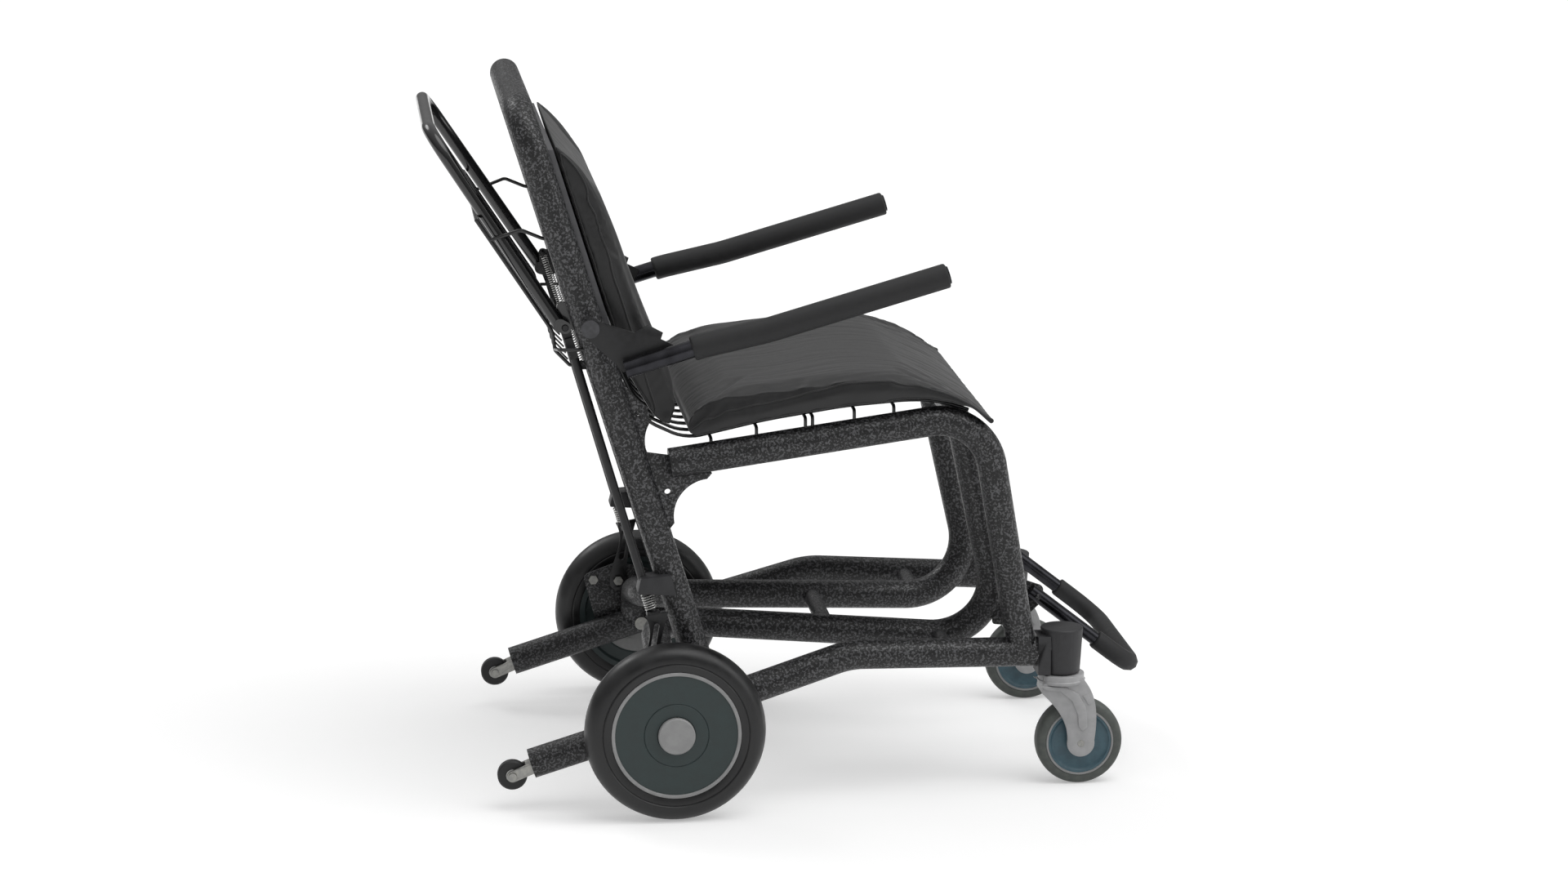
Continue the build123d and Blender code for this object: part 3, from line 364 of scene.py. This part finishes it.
wheel = {
    "middleY": 336, "axleZ": 127, "axleR": 10.05, "rimR": 90.7, "ringInnerR": 85.6, "capR": 25.9, "lineR": 45,
    "faceOut": 23.2, "innerY": 311, "bossCount": 10, "bossCircleR": 44, "bossR": 4,
    "tyreProfile": ((90.7, 23.5), (93, 24.6), (100.5, 25), (102.2, 23.9), (103.6, 25), (110, 24.8),
                    (116, 22.6), (121.5, 17.4), (125, 10.6), (126.6, 4.5), (127, 0)),
}


def makeWheel(side, word):
    body = f"{word}_wheel"
    middle, axleZ, inside = wheel["middleY"], wheel["axleZ"], wheel["innerY"]
    outer = [(radius, middle + y) for radius, y in wheel["tyreProfile"]]
    inner = [(radius, middle - y) for radius, y in reversed(wheel["tyreProfile"][:-1])]
    tyre = finishMesh(turned(outer + inner, side, 0, axleZ), f"{word}TyreRubber")
    dress(tyre, tyreRubber, body, [f"{word}_rear_tyre"])
    face = middle + wheel["faceOut"]
    line, rim, ringInner, capR = wheel["lineR"], wheel["rimR"], wheel["ringInnerR"], wheel["capR"]
    discProfile = (
        (wheel["axleR"], inside), (25, inside), (27, inside + 2.5), (27.5, inside + 5), (62, inside + 5),
        (64, inside + 7.5), (80, inside + 7.5), (83, inside + 2), (rim, inside + 1.6), (rim, face - 1.2),
        (ringInner, face - 1.2), (ringInner, face), (line + 0.9, face), (line, face - 0.8),
        (line - 0.9, face), (capR + 1.2, face), (capR + 0.4, face - 1), (capR + 0.4, face - 3.2),
        (wheel["axleR"], face - 3.2),
    )
    disc = finishMesh(turned(discProfile, side, 0, axleZ), f"{word}WheelDisc")
    dress(disc, discNylon, body, [f"{word}_wheel_disc"], sharpDeg=25)
    ringProfile = (
        (ringInner + 0.05, face - 1.1), (rim - 0.05, face - 1.1),
        (rim - 0.05, face + 1.6), (ringInner + 0.05, face + 1.6),
    )
    ring = finishMesh(turned(ringProfile, side, 0, axleZ, roundMm=0.8), f"{word}WheelRing")
    dress(ring, ringPlastic, body)
    capProfile = (
        (0, face - 2.2), (capR, face - 2.2), (capR, face + 5.2), (capR - 1.3, face + 6.5), (0, face + 6.8),
    )
    cap = finishMesh(turned(capProfile, side, 0, axleZ, steps=72), f"{word}WheelCap")
    dress(cap, capPlastic, body, [f"{word}_wheel_cap"])
    plateProfile = ((27.6, inside + 5.4), (27.6, inside + 2.2), (60, inside + 2.2), (61.5, inside + 5.4))
    plate = finishMesh(turned(plateProfile, side, 0, axleZ, roundMm=0.8, steps=72), f"{word}HubPlate")
    bosses = [plate]
    bossR = wheel["bossR"]
    bossProfile = ((0, inside + 2.6), (bossR, inside + 2.6), (bossR, inside + 0.8), (0, inside + 0.4))
    for count in range(wheel["bossCount"]):
        angle = math.tau * count / wheel["bossCount"]
        boss = turned(bossProfile, side, wheel["bossCircleR"] * math.cos(angle),
                      axleZ + wheel["bossCircleR"] * math.sin(angle), steps=20)
        bosses.append(finishMesh(boss, f"{word}HubBoss{count}"))
    dress(joined(bosses, f"{word}HubPlate"), capPlastic, body)


for side, word in sides:
    makeWheel(side, word)
print("rear wheels made")


# Casters

caster = {"x": 591, "z": 62.5, "y": 222.7, "half": 16, "boltR": 5.05, "ringOuterR": 49, "ringInnerR": 45.5}


def makeCaster(side, word):
    body = f"{word}_caster_wheel"
    x, z, y, half = caster["x"], caster["z"], caster["y"], caster["half"]
    outerR, innerR = caster["ringOuterR"], caster["ringInnerR"]
    tread = [(outerR, half - 0.6), (52, half), (57.5, half - 0.4), (60.6, half - 2.6), (62, half - 6.4),
             (z, 5)]
    tyreProfile = [(radius, y + across) for radius, across in tread]
    tyreProfile += [(radius, y - across) for radius, across in reversed(tread)]
    tyre = finishMesh(turned(tyreProfile, side, x, z), f"{word}CasterTread")
    dress(tyre, casterRubber, body, [f"{word}_caster_tyre"])
    core = [(caster["boltR"], half + 1), (13, half + 1), (15, half - 1.5), (18, half - 3.6), (38, half - 3.6),
            (41, half - 2.4), (42.6, half - 0.8), (innerR, half - 0.8)]
    coreProfile = [(radius, y + across) for radius, across in core]
    coreProfile += [(radius, y - across) for radius, across in reversed(core)]
    hub = finishMesh(turned(coreProfile, side, x, z, steps=72), f"{word}CasterCore")
    dress(hub, casterHubPlastic, body, [f"{word}_caster_hub"], sharpDeg=25)
    band = [(innerR + 0.05, half - 0.8), (innerR + 0.6, half + 0.3), (outerR - 0.6, half + 0.3),
            (outerR - 0.05, half - 0.8)]
    bandProfile = [(radius, y + across) for radius, across in band]
    bandProfile += [(radius, y - across) for radius, across in reversed(band)]
    ring = finishMesh(turned(bandProfile, side, x, z, steps=72), f"{word}CasterBand")
    dress(ring, ringPlastic, body)


for side, word in sides:
    makeCaster(side, word)
print("casters made")


# Caster forks: the die-cast legs get their raised rib, pad and crown ring

fork = {
    "ribOuter": ((528.4, 150.8), (540, 143.1), (560.1, 141), (577.5, 125.8), (585.9, 104.9), (586.7, 88.7),
                 (592.6, 81.2), (599.7, 86.8), (598.4, 113.3), (585.9, 137.2), (568.6, 146.6)),
    "pad": ((592.6, 134.1), (600.3, 135.3), (606.3, 121.9), (601.1, 119.7)),
    "legFace": 24, "ribProud": 2.2, "stemX": 565, "crownR": 33, "crownZ": (151.5, 163.3), "edgeMm": 1.6,
}


def makeFork(side, word):
    body = f"{word}_caster_swivel"
    shell = finishMesh(softened(f"{word}_caster_fork", fork["edgeMm"]), f"{word}ForkShell")
    parts = [shell]
    for leg in (1, -1):
        face = side * caster["y"] + leg * (fork["legFace"] - 0.6)
        rib = slab(fork["ribOuter"], face, leg * (fork["ribProud"] + 0.6), 1.0)
        parts.append(finishMesh(rib, f"{word}ForkRib{leg}"))
        parts.append(finishMesh(slab(fork["pad"], face, leg * 2.0, 0.6), f"{word}ForkPad{leg}"))
    low, high = fork["crownZ"]
    radius = fork["crownR"]
    crownProfile = ((0, low), (radius + 0.6, low), (radius + 1.6, low + 3), (radius - 1.2, low + 5.2),
                    (radius - 1.6, high - 3.4), (radius - 3.4, high - 0.6), (0, high - 0.6))
    bm = bmesh.new()
    loop = [bm.verts.new(spot(fork["stemX"] + r, side * caster["y"], z)) for r, z in crownProfile]
    for first, second in zip(loop, loop[1:]):
        bm.edges.new((first, second))
    bmesh.ops.spin(bm, geom=bm.verts[:] + bm.edges[:], cent=spot(fork["stemX"], side * caster["y"], 0),
                   axis=(0, 0, 1), angle=math.tau, steps=72, use_merge=True)
    parts.append(finishMesh(bm, f"{word}ForkCrown"))
    dress(joined(parts, f"{word}ForkCast"), forkCoat, body, [f"{word}_caster_fork"])


for side, word in sides:
    makeFork(side, word)
print("forks made")


# Springs

handleSpring = {
    "foot": (-118, 628), "ear": (-145.4, 710.6), "y": 212, "endMm": 3, "radius": 4.7, "wireMm": 1.6,
    "turns": 24,
}
brakeSpring = {
    "low": (-26.5, 267.8, 287), "high": (-32.3, 266.3, 307), "radius": 8.2, "wireMm": 2.2, "turns": 6,
}


def makeSprings():
    handleCoils = []
    for side, word in sides:
        foot = spot(handleSpring["foot"][0], side * handleSpring["y"], handleSpring["foot"][1])
        ear = spot(handleSpring["ear"][0], side * handleSpring["y"], handleSpring["ear"][1])
        inset = (ear - foot).normalized() * handleSpring["endMm"] / 1000
        handleCoil = coil(foot + inset, ear - inset, handleSpring["radius"], handleSpring["wireMm"],
                          handleSpring["turns"])
        handleCoils.append(finishMesh(handleCoil, f"{word}HandleCoil"))
    dress(joined(handleCoils, "handleCoils"), springWire, "frame", ["handle_springs"])
    brakeCoils = []
    for side, word in sides:
        low, high = (spot(x, side * y, z) for x, y, z in (brakeSpring["low"], brakeSpring["high"]))
        brakeCoil = coil(low, high, brakeSpring["radius"], brakeSpring["wireMm"], brakeSpring["turns"])
        brakeCoils.append(finishMesh(brakeCoil, f"{word}BrakeCoil"))
    dress(joined(brakeCoils, "brakeCoils"), springWire, "frame", ["brake_springs"])


makeSprings()
print("springs made")


# Cushions: foam slabs in a vinyl cover, resting side flat, piped round both side panels

seatPad = {
    "node": "seat_cushion", "piece": "seatCushion", "half": 265, "slimMm": 3.2, "voxelMm": 6, "pressure": 4.0,
    "mostMm": 6.5, "restSide": (0, 0, -1), "pipingIn": 5.0, "pipingR": 1.5, "fill": 0.7,
    "foldMm": 1.9, "foldSize": (11, 42), "foldTurnDeg": 62, "creaseMm": 0.55, "creaseSize": (170, 13, 40),
    "seed": 3.1,
}
backPad = {
    "node": "back_cushion", "piece": "backCushion", "half": 244.5, "slimMm": 3, "voxelMm": 6, "pressure": 4.0,
    "mostMm": 6.0, "restSide": (-1, 0, -0.3), "pipingIn": 5.0, "pipingR": 1.5, "fill": 0.7,
    "foldMm": 1.7, "foldSize": (12, 60), "foldTurnDeg": 78, "creaseMm": 0.4, "creaseSize": (40, 16, 190),
    "seed": 8.4,
}


clothFrames = 20


def bakeModifiers(piece):
    # Takes what the modifiers make as the piece's own mesh.
    graph = bpy.context.evaluated_depsgraph_get()
    result = bpy.data.meshes.new_from_object(piece.evaluated_get(graph))
    piece.modifiers.clear()
    old = piece.data
    piece.data = result
    bpy.data.meshes.remove(old)


def blowUp(piece, pad):
    # Air pressure rounds the cover while the side that rests stays where it is.
    rest = Vector(pad["restSide"]).normalized()
    held = piece.vertex_groups.new(name="held")
    held.add([v.index for v in piece.data.vertices if v.normal.dot(rest) > 0.45], 1.0, "REPLACE")
    before = [v.co.copy() for v in piece.data.vertices]
    cover = piece.modifiers.new("cover", "CLOTH")
    cover.settings.quality = 4
    cover.settings.use_pressure = True
    cover.settings.uniform_pressure_force = pad["pressure"]
    cover.settings.vertex_group_mass = "held"
    cover.settings.effector_weights.gravity = 0
    for frameNumber in range(1, clothFrames + 1):
        bpy.context.scene.frame_set(frameNumber)
    graph = bpy.context.evaluated_depsgraph_get()
    after = [v.co.copy() for v in piece.evaluated_get(graph).data.vertices]
    piece.modifiers.clear()
    bpy.context.scene.frame_set(1)
    most = pad["mostMm"] / 1000
    for vertex, old, new in zip(piece.data.vertices, before, after):
        move = new - old
        vertex.co = old + (move * (most / move.length) if move.length > most else move)


def foldField(pad, x, z):
    # Soft diagonal folds of the side panel, in millimetres, turning a little from place to place.
    turn = math.radians(pad["foldTurnDeg"] + 38 * noise.noise(Vector((x / 90, z / 90, pad["seed"]))))
    along = x * math.cos(turn) + z * math.sin(turn)
    across = -x * math.sin(turn) + z * math.cos(turn)
    ridge = noise.noise(Vector((across / pad["foldSize"][0], along / pad["foldSize"][1], pad["seed"] + 5)))
    strength = 0.35 + max(0.0, noise.noise(Vector((x / 70, z / 60, pad["seed"] + 9))) + 0.25)
    return (1 - abs(ridge) * 2.6) * strength


def wrinkle(piece, pad):
    bm = bmesh.new()
    bm.from_mesh(piece.data)
    bm.normal_update()
    rest = Vector(pad["restSide"]).normalized()
    moves = []
    for vertex in bm.verts:
        x, y, z = (value * 1000 for value in vertex.co)
        panel = min(1.0, max(0.0, (abs(vertex.normal.y) - 0.6) / 0.3))
        top = min(1.0, max(0.0, (-vertex.normal.dot(rest) - 0.2) / 0.5)) * (1 - panel)
        long, wide, high = pad["creaseSize"]
        bend = 26 * noise.noise(Vector((x / 160, y / 160, z / 160 + pad["seed"])))
        crease = noise.noise(Vector((x / long, (y + bend) / wide, z / high + pad["seed"])))
        fine = noise.noise(Vector((x / long * 1.7, (y + bend) / wide * 2.1, z / high * 1.7 + pad["seed"])))
        lift = panel * pad["foldMm"] * foldField(pad, x, z) * 0.5
        lift += top * pad["creaseMm"] * (1.4 * (0.4 - abs(crease) * 2) + 0.5 * fine)
        moves.append(vertex.normal * lift / 1000)
    for vertex, move in zip(bm.verts, moves):
        vertex.co += move
    bm.to_mesh(piece.data)
    bm.free()


def makePiping(piece, pad, body):
    # The welt lies where the side panel is sewn on, so it is cut from the swollen cover itself.
    tubes = []
    for side, word in sides:
        bm = bmesh.new()
        bm.from_mesh(piece.data)
        place = Vector((0, side * (pad["half"] - pad["pipingIn"]) / 1000, 0))
        bmesh.ops.bisect_plane(bm, geom=bm.verts[:] + bm.edges[:] + bm.faces[:], dist=0.00001,
                               plane_co=place, plane_no=(0, 1, 0), clear_inner=True, clear_outer=True)
        bmesh.ops.remove_doubles(bm, verts=bm.verts, dist=0.0008)
        for count in range(6):
            bmesh.ops.smooth_vert(bm, verts=bm.verts, factor=0.5, use_axis_x=True, use_axis_z=True)
        tubes.append(tubeFrom(bm, pad["pipingR"], f"{word}{pad['piece']}Piping"))
    piping = joined(tubes, f"{pad['piece']}Piping")
    dress(piping, upholstery, body, sharpDeg=60)


def makeCushion(pad):
    bm = bmesh.new()
    bm.from_mesh(nodes[pad["node"]].data)
    piece = finishMesh(bm, pad["piece"])
    remesh = piece.modifiers.new("remesh", "REMESH")
    remesh.mode = "VOXEL"
    remesh.voxel_size = pad["voxelMm"] / 1000
    bakeModifiers(piece)
    bm = bmesh.new()
    bm.from_mesh(piece.data)
    for count in range(2):
        bmesh.ops.smooth_vert(bm, verts=bm.verts, factor=0.5, use_axis_x=True, use_axis_y=True,
                              use_axis_z=True)
    bm.normal_update()
    slim = [vertex.normal * pad["slimMm"] / 1000 for vertex in bm.verts]
    for vertex, move in zip(bm.verts, slim):
        vertex.co -= move
    bm.to_mesh(piece.data)
    bm.free()
    blowUp(piece, pad)
    finer = piece.modifiers.new("finer", "SUBSURF")
    finer.levels = finer.render_levels = 1
    bakeModifiers(piece)
    wrinkle(piece, pad)
    dress(piece, upholstery, "frame", [pad["node"]], sharpDeg=180)
    makePiping(piece, pad, "frame")


for pad in (seatPad, backPad):
    makeCushion(pad)
    print(pad["piece"], "made")


# Plates and castings that keep their CAD shape, with their edges rounded off

roundedPlates = (
    ("gusset", "Gusset", speckledCoat, "frame", "frame_coat", 1.2),
    ("caster_housing", "CasterHousing", housingNylon, "frame", "moulded_black", 1.6),
    ("armrest_plate", "ArmrestPlate", satinCoat, "armrest", "plate_coat", 0.7),
    ("brake_arm", "BrakeArm", satinCoat, "brake_link", "rod_coat", 0.7),
)
for side, word in sides:
    for node, piece, material, body, slotName, widthMm in roundedPlates:
        home = body if body == "frame" else f"{word}_{body}"
        plate = finishMesh(softened(f"{word}_{node}", widthMm), f"{word}{piece}")
        dress(plate, material, home, [f"{word}_{node}"])
for node, piece, material, slotName, widthMm in (
    ("brake_brackets", "brakeBrackets", speckledCoat, "frame_coat", 0.9),
    ("footrest_brackets", "footrestBrackets", speckledCoat, "frame_coat", 0.8),
    ("rod_guides", "rodGuides", housingNylon, "moulded_black", 1.0),
    ("roller_forks", "rollerForks", zincSteel, "zinc_steel", 0.6),
):
    plate = finishMesh(softened(node, widthMm), piece)
    dress(plate, material, "frame", [node])
print("plates made")


# Foam grips with rounded ends

grips = {
    "armrestRoute": ((28, 665.4), (40, 669), (132, 689), (381, 760.4)), "armrestY": 319.5, "armrestR": 17.5,
    "armrestBendMm": 8, "armrestEndMm": 6, "footRoute": ((627, 154), (685, 154), (685, -154), (627, -154)),
    "footPivot": (541, 260), "footFront": (685, 147), "footR": 14, "footBendMm": 45, "footEndMm": 3,
}


def roundEnds(piece, widthMm):
    bm = bmesh.new()
    bm.from_mesh(piece.data)
    bmesh.ops.remove_doubles(bm, verts=bm.verts, dist=0.00002)
    bmesh.ops.recalc_face_normals(bm, faces=bm.faces)
    ends = [edge for edge in bm.edges
            if len(edge.link_faces) == 2 and edge.calc_face_angle() > math.radians(60)]
    bmesh.ops.bevel(bm, geom=ends, offset=widthMm / 1000, segments=4, profile=0.5, affect="EDGES",
                    clamp_overlap=True, material=-1)
    bm.to_mesh(piece.data)
    bm.free()


def footSpot(x, y):
    # A point of the footrest's slanting plane.
    pivotX, pivotZ = grips["footPivot"]
    frontX, frontZ = grips["footFront"]
    return spot(x, y, pivotZ + (frontZ - pivotZ) / (frontX - pivotX) * (x - pivotX))


def makeGrips():
    for side, word in sides:
        points = [spot(x, side * grips["armrestY"], z) for x, z in grips["armrestRoute"]]
        grip = wire(points, grips["armrestR"], grips["armrestBendMm"], f"{word}ArmrestFoam")
        roundEnds(grip, grips["armrestEndMm"])
        dress(grip, foamRubber, f"{word}_armrest", [f"{word}_armrest_grip"], sharpDeg=60)
    points = [footSpot(x, y) for x, y in grips["footRoute"]]
    foot = wire(points, grips["footR"], grips["footBendMm"], "footrestFoam")
    roundEnds(foot, grips["footEndMm"])
    dress(foot, foamRubber, "footrest", ["footrest_grip"], sharpDeg=60)


makeGrips()
print("grips made")


# Round wires of the seat grid: rods from front to back, and cross wires below them with feet on the rails

gridWires = {
    "route": ((-78, 650), (-34, 550), (26, 521.5), (138, 546), (250, 563), (345, 570), (386, 566.5),
              (425, 553.5)),
    "half": 235, "count": 12, "radius": 2.5, "bendMm": 22, "crossX": (60, 124, 193, 203, 262, 318),
    "crossGap": 5.1, "crossBendMm": 4,
}
seatRail = {
    "rearX": 2, "frontX": 446, "rearY": 250, "frontY": 240, "rearZ": 490.3, "rise": 0.132, "topOut": 20,
}


def gridHeight(x):
    route = gridWires["route"]
    for (x0, z0), (x1, z1) in zip(route, route[1:]):
        if x0 <= x <= x1:
            return z0 + (z1 - z0) * (x - x0) / (x1 - x0)


def makeGrid():
    wires = []
    half, count = gridWires["half"], gridWires["count"]
    for number in range(count):
        y = -half + number * 2 * half / (count - 1)
        rod = [spot(x, y, z) for x, z in gridWires["route"]]
        wires.append(wire(rod, gridWires["radius"], gridWires["bendMm"], "gridRod"))
    for x in gridWires["crossX"]:
        z = gridHeight(x) - gridWires["crossGap"]
        along = (x - seatRail["rearX"]) / (seatRail["frontX"] - seatRail["rearX"])
        reach = seatRail["rearY"] + (seatRail["frontY"] - seatRail["rearY"]) * along
        foot = seatRail["rearZ"] + seatRail["rise"] * (x - seatRail["rearX"]) + seatRail["topOut"]
        points = [spot(x, -reach, foot), spot(x, -reach, z), spot(x, reach, z), spot(x, reach, foot)]
        wires.append(wire(points, gridWires["radius"], gridWires["crossBendMm"], "gridCross"))
    dress(joined(wires, "seatWireGrid"), wireCoat, "frame", ["seat_wire_grid"], sharpDeg=60)


makeGrid()
print("wires made")


# Studio

studio = {"floorColour": "dcdcdc", "floorLift": 0.36, "worldLow": 0.14, "worldHigh": 0.76}


def makeFloor():
    bm = bmesh.new()
    bmesh.ops.create_grid(bm, x_segments=1, y_segments=1, size=30)
    mesh = bpy.data.meshes.new("studioFloor")
    bm.to_mesh(mesh)
    bm.free()
    floor = bpy.data.objects.new("studioFloor", mesh)
    bpy.context.scene.collection.objects.link(floor)
    material = bpy.data.materials.new("studioPaper")
    material.use_nodes = True
    tree = material.node_tree
    tree.nodes.clear()
    rays = addNode(tree, "ShaderNodeLightPath")
    seen = addNode(tree, "ShaderNodeMath", {"operation": "MAXIMUM"})
    tree.links.new(rays.outputs["Is Camera Ray"], seen.inputs[0])
    tree.links.new(rays.outputs["Is Glossy Ray"], seen.inputs[1])
    lift = addNode(tree, "ShaderNodeMath", {"operation": "MULTIPLY"})
    lift.inputs[1].default_value = studio["floorLift"]
    tree.links.new(seen.outputs[0], lift.inputs[0])
    paper = addNode(tree, "ShaderNodeBsdfDiffuse", {"Color": toLinear(studio["floorColour"])})
    glow = addNode(tree, "ShaderNodeEmission", {"Color": (1, 1, 1, 1)}, {"Strength": lift.outputs[0]})
    both = addNode(tree, "ShaderNodeAddShader")
    tree.links.new(paper.outputs[0], both.inputs[0])
    tree.links.new(glow.outputs[0], both.inputs[1])
    addNode(tree, "ShaderNodeOutputMaterial", {}, {"Surface": both.outputs[0]})
    mesh.materials.append(material)


def makeWorld():
    world = bpy.data.worlds.new("studioWorld")
    bpy.context.scene.world = world
    world.use_nodes = True
    tree = world.node_tree
    tree.nodes.clear()
    where = addNode(tree, "ShaderNodeTexCoord")
    height = addNode(tree, "ShaderNodeSeparateXYZ", {}, {"Vector": where.outputs["Generated"]})
    level = addNode(tree, "ShaderNodeMapRange",
                    {"From Min": 0.0, "From Max": 1.0,
                     "To Min": studio["worldLow"], "To Max": studio["worldHigh"]},
                    {"Value": height.outputs["Z"]})
    around = addNode(tree, "ShaderNodeBackground", {"Color": (1, 1, 1, 1)},
                     {"Strength": level.outputs["Result"]})
    white = addNode(tree, "ShaderNodeBackground", {"Color": (0.985, 0.985, 0.985, 1), "Strength": 1.0})
    rays = addNode(tree, "ShaderNodeLightPath")
    both = addNode(tree, "ShaderNodeMixShader", {}, {"Fac": rays.outputs["Is Camera Ray"]})
    tree.links.new(around.outputs[0], both.inputs[1])
    tree.links.new(white.outputs[0], both.inputs[2])
    addNode(tree, "ShaderNodeOutputWorld", {}, {"Surface": both.outputs[0]})


lamps = (
    {"name": "overheadLamp", "strength": 1.1, "spreadDeg": 50, "fromXyz": (0.35, -0.25, 1.0)},
    {"name": "frontLamp", "strength": 0.5, "spreadDeg": 35, "fromXyz": (1.0, -0.4, 0.5)},
    {"name": "rearLamp", "strength": 0.5, "spreadDeg": 25, "fromXyz": (-0.6, 0.7, 0.8)},
)


def makeLamps():
    for lamp in lamps:
        data = bpy.data.lights.new(lamp["name"], "SUN")
        data.energy = lamp["strength"]
        data.angle = math.radians(lamp["spreadDeg"])
        lampObject = bpy.data.objects.new(lamp["name"], data)
        lampObject.rotation_euler = Vector(lamp["fromXyz"]).to_track_quat("Z", "Y").to_euler()
        bpy.context.scene.collection.objects.link(lampObject)


makeFloor()
makeWorld()
makeLamps()
print("studio made")
